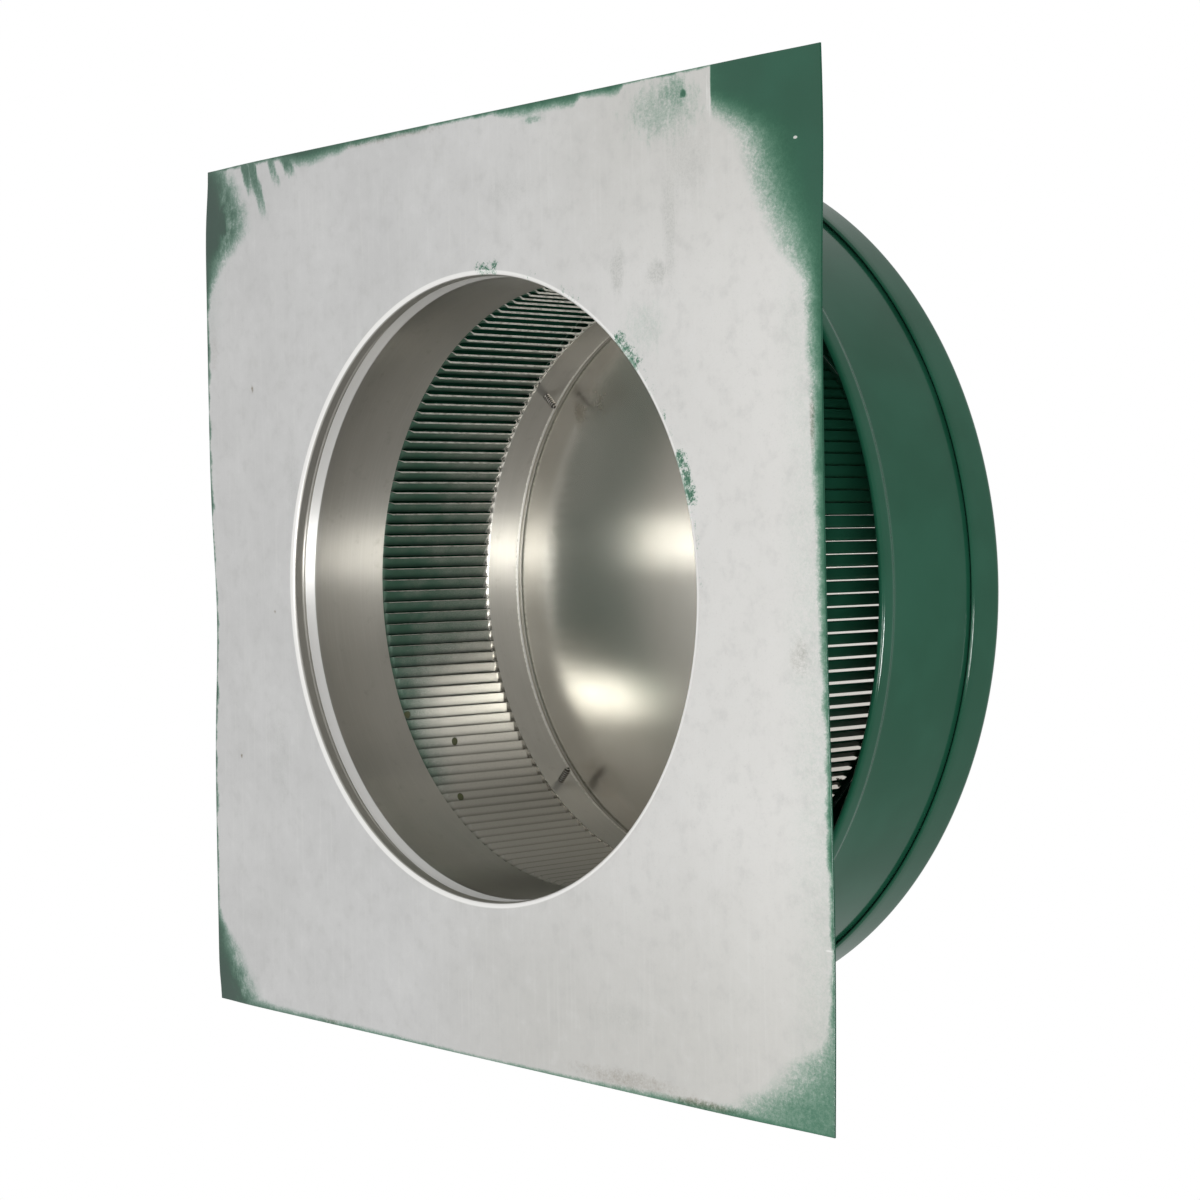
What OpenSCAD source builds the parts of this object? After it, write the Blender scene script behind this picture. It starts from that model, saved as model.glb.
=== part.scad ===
// Static roof vent: a square roof flange, a louvered drum and a domed cap with a wind band.
// The underside of the flange is the plane Z = 0 and the throat's axis is Z, with the cap on top.
// All sizes are in millimetres and all angles in degrees.

/* [Base flange] */
// Side of the square flange
flange_side = 457.2; // [400:0.1:560]
// Thickness of the flange's sheet
flange_t = 1.0; // [0.6:0.1:1.6]
// Bend radius from the flange's underside into its neck
neck_bend = 2.5; // [2:0.1:3.5]
// Height of the neck's upper edge
neck_h = 7.7; // [6:0.1:9]

/* [Louvered drum] */
// Outside diameter of the collar, which is the duct size
collar_od = 304.8; // [280:0.1:330]
// Thickness of the drum's sheet
drum_t = 1.0; // [0.6:0.1:1.4]
// Height of the bell's lower edge, just above the flange
bell_z = 3.4; // [3.2:0.1:5]
// Height at which the bell begins to narrow to the collar
shoulder_z = 10.0; // [9.2:0.1:14]
// Height of the bell's conical shoulder
shoulder_h = 5.8; // [3:0.1:10]
// Length of the smooth collar above the shoulder
collar_len = 43.5; // [20:0.5:120]
// Length of the slats
slat_len = 75.4; // [40:0.1:120]
// Number of slats around the drum
slat_count = 156; // [60:4:172]
// Width of the cut between two neighbouring slats
slit_w = 0.3; // [0.2:0.05:1]
// Angle by which each slat is twisted out of the drum's wall
slat_tilt = 30; // [15:1:45]
// How far a slat's twisted ends run into the plain bands
slat_root = 0.5; // [0.2:0.1:2]
// How much the collar's wall opens where the slats twist out of it, in radius
collar_flare = 0.05; // [0.01:0.01:0.2]
// Height of the plain band above the slats
top_band_h = 20.2; // [18:0.1:40]

/* [Cap mounting ring] */
// Thickness of the ring's sheet
ring_t = 1.0; // [0.6:0.1:1.4]
// Height of the ring's wall that laps over the drum's top band
ring_lap = 17.5; // [15:0.1:18]
// Bend radius between the ring's wall and its flare
ring_bend = 2.5; // [1.6:0.1:3]
// Width of the flare that lies under the dome
ring_flare = 16; // [8:0.5:30]

/* [Cap screws] */
// Direction of the first screw, counted from +X towards +Y
screw_start = 43; // [0:1:89]
// Height of the screws below the drum's top edge
screw_drop = 10.3; // [7:0.1:11]
// Outside diameter of the screw thread
screw_d = 4.2; // [3:0.1:5]
// Length under the head
screw_len = 12.7; // [8:0.1:20]
// Pitch of the thread
screw_pitch = 1.4; // [1:0.1:2]
// Depth of the thread
thread_depth = 0.55; // [0.3:0.05:0.8]
// Diameter of the washer face under the head
washer_d = 8.2; // [7:0.1:10]
// Thickness of the washer face
washer_t = 0.8; // [0.5:0.1:1.2]
// Width across the flats of the hexagonal head
head_af = 6.35; // [5:0.05:7]
// Height of the hexagonal head above its washer face
head_h = 3.0; // [2:0.1:4]

/* [Cap dome] */
// Thickness of the dome's sheet
dome_t = 1.0; // [0.6:0.1:1.4]
// Outside diameter of the dome's rim
dome_od = 434.4; // [410:0.1:470]
// Radius of the nearly flat crown's sphere, outside
crown_r = 2000; // [900:10:4000]
// Radius of the rounded shoulder between the crown and the rim, outside
dome_shoulder_r = 103.5; // [96:0.5:130]
// Clear height between the drum's top edge and the dome above it
crown_gap = 3.3; // [3:0.1:10]
// Bend radius between the crown and the rim, outside
rim_bend = 4.0; // [2:0.1:6]
// Height of the rim's straight wall and hem
rim_h = 16.7; // [12:0.1:22]
// Radius of the fold along the rim's hem, outside
rim_fold = 1.1; // [1.05:0.05:1.6]
// Length of the hem's inner leg
rim_hem = 8; // [3:0.5:10]

/* [Wind band] */
// Thickness of the band's sheet
band_t = 1.0; // [0.6:0.1:1.4]
// Height of the band's lowest edge above the flange's underside
band_z = 49.3; // [30:0.1:60]
// How far the rolled lower edge stands out from the band's wall
bead_out = 2.9; // [1.5:0.1:5]
// Height over which the wall flares out to the rolled edge
bead_flare_h = 6.2; // [4:0.1:12]
// Height of the straight part between the flare and the roll
bead_wall_h = 4.2; // [2:0.1:8]
// Radius of the roll at the lowest edge, outside
bead_r = 1.7; // [1.5:0.1:2.2]
// Length of the inner leg above the roll
bead_leg = 3.0; // [1:0.1:4]

/* [Clearances] */
// Radial gap between the flange's neck and the drum's bell around it
bell_gap = 0.1; // [0.05:0.05:0.3]
// How much wider the neck is than the collar above it, in radius
neck_ease = 0.1; // [0:0.05:0.5]
// Radial gap between the drum's top band and the mounting ring
ring_gap = 0.1; // [0.05:0.05:0.3]
// Gap between the ring's flare and the dome on it
seat_gap = 0.05; // [0.02:0.01:0.2]
// Radial gap between the rim's hem and the wind band inside it
band_gap = 0.1; // [0.05:0.05:0.3]
// Radial gap around a screw's thread in its holes
screw_gap = 0.05; // [0.02:0.01:0.2]

/* [Hidden] */
// Segments of a full circle and of one bend
$fn = 180;
bend_steps = 8;
crown_steps = 12;
shoulder_steps = 20;

// Radii of the walls, from the throat outwards
collar_r = collar_od / 2 - drum_t;
neck_r = collar_r + neck_ease;
bell_r = neck_r + flange_t + bell_gap;
ring_r = collar_od / 2 + ring_gap;
rim_r = dome_od / 2;
band_r = rim_r - 2 * rim_fold - band_gap;

// Heights of the drum
collar_z = shoulder_z + shoulder_h + collar_len;
collar_flare_z = collar_z - 2 * slat_root;
slat_top_z = collar_z + slat_len;
drum_z = slat_top_z + top_band_h;

// The slats are cut and twisted from the wall, so their width is the pitch less the cut
mid_r = (collar_r + collar_od / 2) / 2;
slat_pitch = 2 * PI * mid_r / slat_count;
slat_w = slat_pitch - slit_w;

// The crown is part of a sphere whose centre lies on the axis, far below
crown_z = drum_z + crown_gap - sqrt(pow(crown_r - dome_t, 2) - pow(ring_r, 2));

// Over the ring's wall the crown passes smoothly into the shoulder, whose centre is [dome_x, dome_z]
crown_end_a = acos(ring_r / (crown_r - dome_t));
dome_x = (crown_r - dome_shoulder_r) * cos(crown_end_a);
dome_z = crown_z + (crown_r - dome_shoulder_r) * sin(crown_end_a);
rim_bend_x = rim_r - rim_bend;
rim_bend_z = dome_z + sqrt(pow(dome_shoulder_r - rim_bend, 2) - pow(rim_bend_x - dome_x, 2));
rim_bend_a = atan2(rim_bend_z - dome_z, rim_bend_x - dome_x);
rim_z = rim_bend_z - rim_h;

// The ring's flare follows the underside of the dome's shoulder
flare_r = dome_shoulder_r - dome_t - seat_gap;
flare_end_r = ring_r + ring_bend + ring_flare;
ring_bend_x = ring_r + ring_bend;
ring_bend_z = dome_z + sqrt(pow(flare_r - ring_bend, 2) - pow(ring_bend_x - dome_x, 2));
ring_bend_a = atan2(ring_bend_z - dome_z, ring_bend_x - dome_x);
ring_z = drum_z - ring_lap;

// The band's wall runs up to the rim's bend, and its lower end flares out in two equal arcs
band_top_z = rim_bend_z;
bead_x = band_r + bead_out;
bead_wall_z = band_z + bead_r + bead_wall_h;
flare_a = 2 * atan(bead_out / bead_flare_h);
flare_arc_r = bead_flare_h / (2 * sin(flare_a));

// The four screws point at the axis, with their heads against the mounting ring
screw_count = 4;
screw_z = drum_z - screw_drop;
screw_seat_r = ring_r + ring_t;
screw_step = 360 / screw_count;
point_len = 1.6;
thread_runout = 0.6;

// Points of an arc about [x, z], both ends included
function arc(x, z, r, from, to, steps) =
    [for (i = [0:steps]) let (a = from + (to - from) * i / steps) [x + r * cos(a), z + r * sin(a)]];

function reverse(points) = [for (i = [len(points) - 1:-1:0]) points[i]];

// A sheet between two faces that are given as paths running the same way, turned about the axis
module spun_sheet(face, back) {
    rotate_extrude()
        polygon(concat(face, reverse(back)));
}

// Throat side of the neck at depth d into its sheet, from the upper edge down to the plate
function neck_face(d) = concat(
    [[neck_r + d, neck_h]],
    arc(neck_r + neck_bend, neck_bend, neck_bend - d, 180, 270, bend_steps));

// Throat side of the bell, shoulder and collar at depth d
function collar_face(d) = [
    [bell_r + d, bell_z],
    [bell_r + d, shoulder_z],
    [collar_r + d, shoulder_z + shoulder_h],
    [collar_r + d, collar_flare_z],
    [collar_r + d + collar_flare, collar_z]];

// Inner side of the mounting ring at depth d, up its wall and out along its flare
function ring_face(d) = concat(
    [[ring_r + d, ring_z]],
    arc(ring_bend_x, ring_bend_z, ring_bend - d, 180, ring_bend_a, bend_steps),
    arc(dome_x, dome_z, flare_r - d, ring_bend_a, acos((flare_end_r - dome_x) / flare_r), bend_steps));

// Weather side of the dome at depth d, from the pole out to the rim and round its hem
function dome_face(d) = concat(
    arc(0, crown_z, crown_r - d, 90, crown_end_a, crown_steps),
    arc(dome_x, dome_z, dome_shoulder_r - d, crown_end_a, rim_bend_a, shoulder_steps),
    arc(rim_bend_x, rim_bend_z, rim_bend - d, rim_bend_a, 0, bend_steps),
    arc(rim_r - rim_fold, rim_z + rim_fold, rim_fold - d, 0, -180, bend_steps),
    [[rim_r - 2 * rim_fold + d, rim_z + rim_fold + rim_hem]]);

// Outer side of the wind band at depth d, from the top edge down and round the rolled edge
function band_face(d) = concat(
    [[band_r - d, band_top_z]],
    arc(band_r + flare_arc_r, bead_wall_z + bead_flare_h, flare_arc_r + d, 180, 180 + flare_a, bend_steps),
    arc(bead_x - flare_arc_r, bead_wall_z, flare_arc_r - d, flare_a, 0, bend_steps),
    arc(bead_x - bead_r, band_z + bead_r, bead_r - d, 0, -180, bend_steps),
    [[bead_x - 2 * bead_r + d, band_z + bead_r + bead_leg]]);

// Puts a child that lies along +X at the screw with this number, counted from 0
module at_screw(number) {
    rotate([0, 0, screw_start + number * screw_step])
        translate([screw_seat_r, 0, screw_z])
            children();
}

// Clearance holes for all the screws, cut through the walls that they pass
module screw_holes() {
    for (i = [0:screw_count - 1])
        at_screw(i)
            rotate([0, -90, 0])
                cylinder(h = screw_len, d = screw_d + 2 * screw_gap, center = true, $fn = 48);
}

// One slat, turned about its own middle line
module slat() {
    translate([mid_r, 0, collar_z + slat_len / 2])
        rotate([0, 0, slat_tilt])
            cube([drum_t, slat_w, slat_len + 2 * slat_root], center = true);
}

// Square plate with its hole edge drawn up into a neck
module base_flange() {
    color("darkseagreen") {
        linear_extrude(flange_t)
            difference() {
                square(flange_side, center = true);
                circle(r = neck_r + neck_bend);
            }
        spun_sheet(neck_face(0), neck_face(flange_t));
    }
}

// Bell, collar, slats and top band are one sheet
module louver_drum() {
    color("gainsboro") {
        spun_sheet(collar_face(0), collar_face(drum_t));
        for (i = [0:slat_count - 1])
            rotate([0, 0, i * 360 / slat_count])
                slat();
        difference() {
            translate([0, 0, slat_top_z])
                linear_extrude(top_band_h)
                    difference() {
                        circle(d = collar_od);
                        circle(r = collar_r);
                    }
            screw_holes();
        }
    }
}

// Spun ring that carries the cap on the drum
module cap_mounting_ring() {
    color("silver")
        difference() {
            spun_sheet(ring_face(0), ring_face(ring_t));
            screw_holes();
        }
}

// Spun dome with a nearly flat crown, a rounded shoulder, a turned-down rim and an inward hem
module cap_dome() {
    color("seagreen")
        spun_sheet(dome_face(0), dome_face(dome_t));
}

// Cylindrical band that hangs from the rim and shields the slats
module wind_band() {
    color("darkgreen")
        spun_sheet(band_face(0), band_face(band_t));
}

// Thread as a row of V ridges, in from the head's seat to the point
function thread_outline() =
    let (ridges = floor((screw_len - point_len - thread_runout) / screw_pitch))
    concat(
        [[0, 0], [screw_d / 2 - thread_depth, 0]],
        [for (i = [0:ridges - 1], side = [0:1])
            [screw_d / 2 - thread_depth * (1 - side), thread_runout + (i + side / 2) * screw_pitch]],
        [[screw_d / 2 - thread_depth, screw_len - point_len], [0, screw_len]]);

// Hex washer head screw, driven from outside towards the axis
module cap_screw(number) {
    color("dimgray")
        at_screw(number) {
            rotate([0, -90, 0])
                rotate_extrude($fn = 48)
                    polygon(thread_outline());
            rotate([0, 90, 0]) {
                cylinder(h = washer_t, d = washer_d, $fn = 48);
                translate([0, 0, washer_t])
                    cylinder(h = head_h, d = head_af / cos(30), $fn = 6);
            }
        }
}

module cap_screw_1() {
    cap_screw(0);
}

module cap_screw_2() {
    cap_screw(1);
}

module cap_screw_3() {
    cap_screw(2);
}

module cap_screw_4() {
    cap_screw(3);
}

base_flange();
louver_drum();
cap_mounting_ring();
cap_dome();
wind_band();
cap_screw_1();
cap_screw_2();
cap_screw_3();
cap_screw_4();
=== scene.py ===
"""Static roof vent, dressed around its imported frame.

Everything is in metres in the part's own frame: the flange's underside is the plane z = 0, the throat's
axis is z and the cap is on top. The camera looks up into the throat from below, so +x is on its left.
"""

import logging
import math
from dataclasses import dataclass
from enum import Enum
from typing import Callable, Iterable, Union

import bpy
import numpy as np
from mathutils import Matrix, Vector


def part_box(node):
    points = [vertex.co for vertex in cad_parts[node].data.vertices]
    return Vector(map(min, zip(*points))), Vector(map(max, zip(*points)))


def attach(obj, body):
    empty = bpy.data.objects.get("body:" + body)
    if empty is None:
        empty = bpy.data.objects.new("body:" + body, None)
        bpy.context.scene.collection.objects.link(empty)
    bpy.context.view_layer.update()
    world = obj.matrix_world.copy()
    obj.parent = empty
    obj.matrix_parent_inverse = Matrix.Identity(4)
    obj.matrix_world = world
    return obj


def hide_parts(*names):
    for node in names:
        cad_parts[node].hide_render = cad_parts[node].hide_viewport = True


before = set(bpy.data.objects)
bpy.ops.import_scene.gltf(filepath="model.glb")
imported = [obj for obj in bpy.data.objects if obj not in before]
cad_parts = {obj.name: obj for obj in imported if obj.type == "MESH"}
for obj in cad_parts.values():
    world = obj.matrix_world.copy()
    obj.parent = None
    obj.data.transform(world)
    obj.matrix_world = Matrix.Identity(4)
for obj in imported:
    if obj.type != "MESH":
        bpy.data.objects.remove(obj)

LOG = logging.getLogger("roof_vent")
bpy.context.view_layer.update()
MM = 0.001
BODY = "root"
SCREWS = 4

# Thickness of every sheet, and how far its cut edges are eased
SHEET = 1.0 * MM
EASE = 0.12 * MM
# How far the neck's edge lies below its solid's top, and the drum's rim above its own
NECK_DROP = 2.0 * MM
RIM_RISE = 0.7 * MM
# Radius in millimetres at which a direction round the drum is turned into a distance
WALL_R_MM = 152.0
# Share of a full turn that lays the highlights of a brushed finish across its marks
BRUSH_TURN = 0.25

Triple = tuple[float, float, float]
Colour = Triple
Number = Union[float, "Field"]


def seen(red: int, green: int, blue: int) -> Colour:
    """Linear colour of a shade given as it looks on a screen.

    Args:
        red: Red from 0 to 255.
        green: Green from 0 to 255.
        blue: Blue from 0 to 255.

    Returns:
        The three linear values, each c / 12.92 near black and ((c + 0.055) / 1.055) ** 2.4 elsewhere.
    """
    shades = [c / 255 for c in (red, green, blue)]
    return tuple(c / 12.92 if c <= 0.04045 else ((c + 0.055) / 1.055) ** 2.4 for c in shades)


class Slot(Enum):
    """The material slots of the pieces."""

    FLANGE = "flange_sheet"
    DRUM = "drum_sheet"
    RING = "ring_sheet"
    COAT = "green_coat"
    SCREW = "screw_steel"


class Side(Enum):
    """Which side of a sheet a face belongs to, as the index of its finish."""

    BARE = 0
    COATED = 1
    SPRAYED = 2
    SHEARED = 3


# Profiles and meshes


def full_turn(segments: int) -> np.ndarray:
    """Angles of a full turn in even steps, in radians, from 0 up to the step before the last."""
    return 2 * np.pi * np.arange(segments) / segments


def ring_points(r: np.ndarray, z: np.ndarray, a: np.ndarray) -> np.ndarray:
    """Points of rings about the axis.

    Formula: point (i, j) is (r_ij cos a_j, r_ij sin a_j, z_i).

    Args:
        r: Radius of each ring as a column, or a row of radii for each ring.
        z: Height of each ring as a column.
        a: Angles of a ring's points in radians.

    Returns:
        An array of rings, points and the three coordinates.
    """
    return np.stack([r * np.cos(a), r * np.sin(a), np.broadcast_to(z, (len(z), len(a)))], axis=-1)


def arc(x: float, z: float, radius: float, start: float, end: float, steps: int) -> np.ndarray:
    """Points of an arc in the half plane of radius and height.

    Formula: (x + radius cos a, z + radius sin a), with a running evenly from start to end.

    Args:
        x: Radius of the arc's centre from the axis.
        z: Height of the arc's centre.
        radius: Radius of the arc.
        start: First angle in degrees.
        end: Last angle in degrees.
        steps: Number of steps between the two.

    Returns:
        An array of steps + 1 points.
    """
    a = np.radians(np.linspace(start, end, steps + 1))
    return np.stack([x + radius * np.cos(a), z + radius * np.sin(a)], axis=1)


def straight(first: tuple[float, float], last: tuple[float, float], steps: int) -> np.ndarray:
    """Evenly spaced points from first to last.

    Args:
        first: Start point.
        last: End point.
        steps: Number of steps between the two.

    Returns:
        An array of steps + 1 points.
    """
    t = np.linspace(0, 1, steps + 1)[:, None]
    return (1 - t) * np.asarray(first) + t * np.asarray(last)


def joined(*parts: np.ndarray) -> np.ndarray:
    """Stretches of a profile laid end to end, with each repeated point kept once.

    Args:
        parts: The stretches, in order.

    Returns:
        One array of points.
    """
    points = np.concatenate([np.atleast_2d(p) for p in parts])
    step = np.hypot(*(points - np.roll(points, 1, axis=0)).T)
    step[0] = 1
    return points[step > 1e-7]


def cut_edge(face: np.ndarray, back: np.ndarray, round_off: float = EASE) -> np.ndarray:
    """Closed outline of a sheet between two paths that run the same way, its cut edges a little rounded.

    Each end is pulled back along its own path, and one point in the middle of the edge stands proud.

    Args:
        face: Path of the sheet's one side.
        back: Path of its other side.
        round_off: How far the corners are pulled back.

    Returns:
        The points of the face, the far edge, the back in reverse and the near edge.
    """
    ends = []
    for path in (face, back):
        for at, beside in ((0, 1), (-1, -2)):
            run = path[beside] - path[at]
            ends.append(path[at] + run / np.hypot(*run) * round_off)
    face_start, face_end, back_start, back_end = ends
    near, far = (face[0] + back[0]) / 2, (face[-1] + back[-1]) / 2
    return joined(near, face_start, face[1:-1], face_end, far, back_end, back[1:-1][::-1], back_start)


def grid_quads(rows: int, columns: int, close_rows: bool, close_columns: bool = True) -> np.ndarray:
    """Quads between neighbouring points of a grid whose point (r, c) has the number r * columns + c.

    Args:
        rows: Number of rows.
        columns: Number of columns.
        close_rows: Whether the last row joins the first.
        close_columns: Whether the last column joins the first.

    Returns:
        An array of quads, row by row.
    """
    r = np.arange(rows if close_rows else rows - 1)[:, None]
    c = np.arange(columns if close_columns else columns - 1)[None, :]
    below, beside = (r + 1) % rows * columns, (c + 1) % columns
    quads = np.stack([r * columns + c, r * columns + beside, below + beside, below + c], axis=-1)
    return quads.reshape(-1, 4)


@dataclass
class Shape:
    """Points and faces of one piece. A triangle is a quad whose last number is -1.

    Attributes:
        points: Corner points in metres.
        faces: Numbers of each face's corners.
        sides: The finish of each face, by index.
        across: Place of each point across its strip, from 0 to 1, or None where no pattern needs it.
    """

    points: np.ndarray
    faces: np.ndarray
    sides: np.ndarray | None = None
    across: np.ndarray | None = None

    def facing_out(self) -> "Shape":
        """Turns the faces outwards, judged by the volume that they enclose.

        Returns:
            The same shape.
        """
        a, b, c = (self.points[self.faces[:, i]] for i in range(3))
        d = self.points[np.where(self.faces[:, 3] < 0, self.faces[:, 2], self.faces[:, 3])]
        volume = np.einsum("ij,ij->i", a, np.cross(b, c) + np.cross(c, d)).sum()
        if volume < 0:
            last = np.where(self.faces[:, 3:] < 0, self.faces[:, 2:3], self.faces[:, 3:])
            third = np.where(self.faces[:, 3:] < 0, self.faces[:, 1:2], self.faces[:, 2:3])
            fourth = np.where(self.faces[:, 3:] < 0, -1, self.faces[:, 1:2])
            self.faces = np.concatenate([self.faces[:, :1], last, third, fourth], axis=1)
        return self

    def build(
        self,
        name: str,
        materials: Iterable[bpy.types.Material],
        crease: float = 32,
    ) -> bpy.types.Object:
        """Puts the shape into the scene.

        Args:
            name: Name of the piece.
            materials: Its finishes, in the order of the numbers in sides.
            crease: Angle in degrees above which an edge is shaded sharp.

        Returns:
            The object, with its place in its mesh.
        """
        mesh = bpy.data.meshes.new(name)
        kept = self.faces >= 0
        loops = self.faces[kept]
        totals = kept.sum(axis=1)
        mesh.vertices.add(len(self.points))
        mesh.vertices.foreach_set("co", self.points.astype(np.float32).ravel())
        mesh.loops.add(len(loops))
        mesh.loops.foreach_set("vertex_index", loops.astype(np.int32))
        mesh.polygons.add(len(self.faces))
        mesh.polygons.foreach_set("loop_start", (np.cumsum(totals) - totals).astype(np.int32))
        for material in materials:
            mesh.materials.append(material)
        if self.sides is not None:
            mesh.polygons.foreach_set("material_index", self.sides.astype(np.int32))
        mesh.update(calc_edges=True)
        if self.across is not None:
            layer = mesh.attributes.new("across", "FLOAT", "POINT")
            layer.data.foreach_set("value", self.across.astype(np.float32))
        mesh.shade_smooth()
        mesh.set_sharp_from_angle(angle=math.radians(crease))
        piece = bpy.data.objects.new(name, mesh)
        bpy.context.scene.collection.objects.link(piece)
        return piece


def merged(shapes: Iterable[Shape]) -> Shape:
    """Several shapes as one, with their points side by side.

    Args:
        shapes: The shapes, each with sides.

    Returns:
        One shape.
    """
    shapes = list(shapes)
    starts = np.cumsum([0] + [len(s.points) for s in shapes[:-1]])
    faces = [np.where(s.faces < 0, -1, s.faces + start) for s, start in zip(shapes, starts)]
    across = [np.zeros(len(s.points)) if s.across is None else s.across for s in shapes]
    return Shape(
        np.concatenate([s.points for s in shapes]),
        np.concatenate(faces),
        np.concatenate([s.sides for s in shapes]),
        np.concatenate(across),
    )


def fans(first_pole: int, rows: int, columns: int) -> tuple[np.ndarray, np.ndarray]:
    """Triangles that close a tube of rings at both ends, each end round a middle point of its own.

    Args:
        first_pole: Number of the first end's middle point; the last end's comes after it.
        rows: Number of rings.
        columns: Points of one ring.

    Returns:
        The first end's triangles and the last end's.
    """
    c = np.arange(columns)
    beside = (c + 1) % columns
    last = (rows - 1) * columns
    none = np.full(columns, -1)
    first_end = np.stack([np.full(columns, first_pole), beside, c, none], axis=1)
    last_end = np.stack([np.full(columns, first_pole + 1), last + c, last + beside, none], axis=1)
    return first_end, last_end


def spin(
    profile: np.ndarray,
    segments: int,
    side_of: Callable[[np.ndarray], np.ndarray] | None = None,
) -> Shape:
    """Turns a closed profile about the axis into a ring.

    Formula: as for ring_points, with a_j = 2 pi j / segments.

    Args:
        profile: Points of radius and height, which close up by themselves.
        segments: Number of steps around.
        side_of: Gives the finish of each profile step from its middle points, or None for one finish.

    Returns:
        The ring, facing outwards.
    """
    points = ring_points(profile[:, :1], profile[:, 1:], full_turn(segments))
    middles = (profile + np.roll(profile, -1, axis=0)) / 2
    steps = np.zeros(len(profile)) if side_of is None else side_of(middles)
    faces = grid_quads(len(profile), segments, close_rows=True)
    return Shape(points.reshape(-1, 3), faces, np.repeat(steps, segments)).facing_out()


def spin_from_axis(profile: np.ndarray, segments: int, steps_coated: int) -> Shape:
    """Turns a profile that starts and ends on the axis into a closed shell.

    Formula: as for spin, with the first and the last point made one pole each, joined by triangles.

    Args:
        profile: Points of radius and height, of which the first and the last lie on the axis.
        segments: Number of steps around.
        steps_coated: How many steps from the first point on are coated; the rest are bare.

    Returns:
        The shell, facing outwards.
    """
    inner = profile[1:-1]
    rows = ring_points(inner[:, :1], inner[:, 1:], full_turn(segments)).reshape(-1, 3)
    poles = np.array([[0, 0, profile[0, 1]], [0, 0, profile[-1, 1]]])
    first_end, last_end = fans(len(rows), len(inner), segments)
    quads = grid_quads(len(inner), segments, close_rows=False)
    step = np.repeat(np.arange(len(profile) - 1), segments)
    sides = np.where(step < steps_coated, Side.COATED.value, Side.BARE.value)
    faces = np.concatenate([first_end, quads, last_end])
    return Shape(np.concatenate([rows, poles]), faces, sides).facing_out()


def capped(points: np.ndarray, rows: int, columns: int) -> Shape:
    """A tube of rings closed at both ends by a middle point.

    Args:
        points: The rings' points, row by row.
        rows: Number of rings.
        columns: Points of one ring.

    Returns:
        The closed tube, facing outwards.
    """
    middles = np.stack([points[:columns].mean(axis=0), points[-columns:].mean(axis=0)])
    first_end, last_end = fans(len(points), rows, columns)
    faces = np.concatenate([grid_quads(rows, columns, close_rows=False), first_end, last_end])
    return Shape(np.concatenate([points, middles]), faces, np.zeros(len(faces))).facing_out()


def welded(shape: Shape, distance: float = 1e-6) -> Shape:
    """The same shape with points that lie on each other made one, which keeps the larger across of them.

    Args:
        shape: The shape, with across.
        distance: Size of the steps to which places are rounded before they are compared.

    Returns:
        The welded shape.
    """
    keys = np.round(shape.points / distance).astype(np.int64)
    _, first, back = np.unique(keys, axis=0, return_index=True, return_inverse=True)
    back = back.ravel()
    faces = np.where(shape.faces < 0, -1, back[shape.faces])
    order = np.argsort(back, kind="stable")
    starts = np.searchsorted(back[order], np.arange(len(first)))
    across = np.maximum.reduceat(shape.across[order], starts)
    return Shape(shape.points[first], faces, shape.sides, across)


def smooth_step(value: np.ndarray) -> np.ndarray:
    """Eases from 0 to 1 as value goes from 0 to 1, by 3 v^2 - 2 v^3."""
    v = np.clip(value, 0, 1)
    return v * v * (3 - 2 * v)


# Finishes


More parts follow.
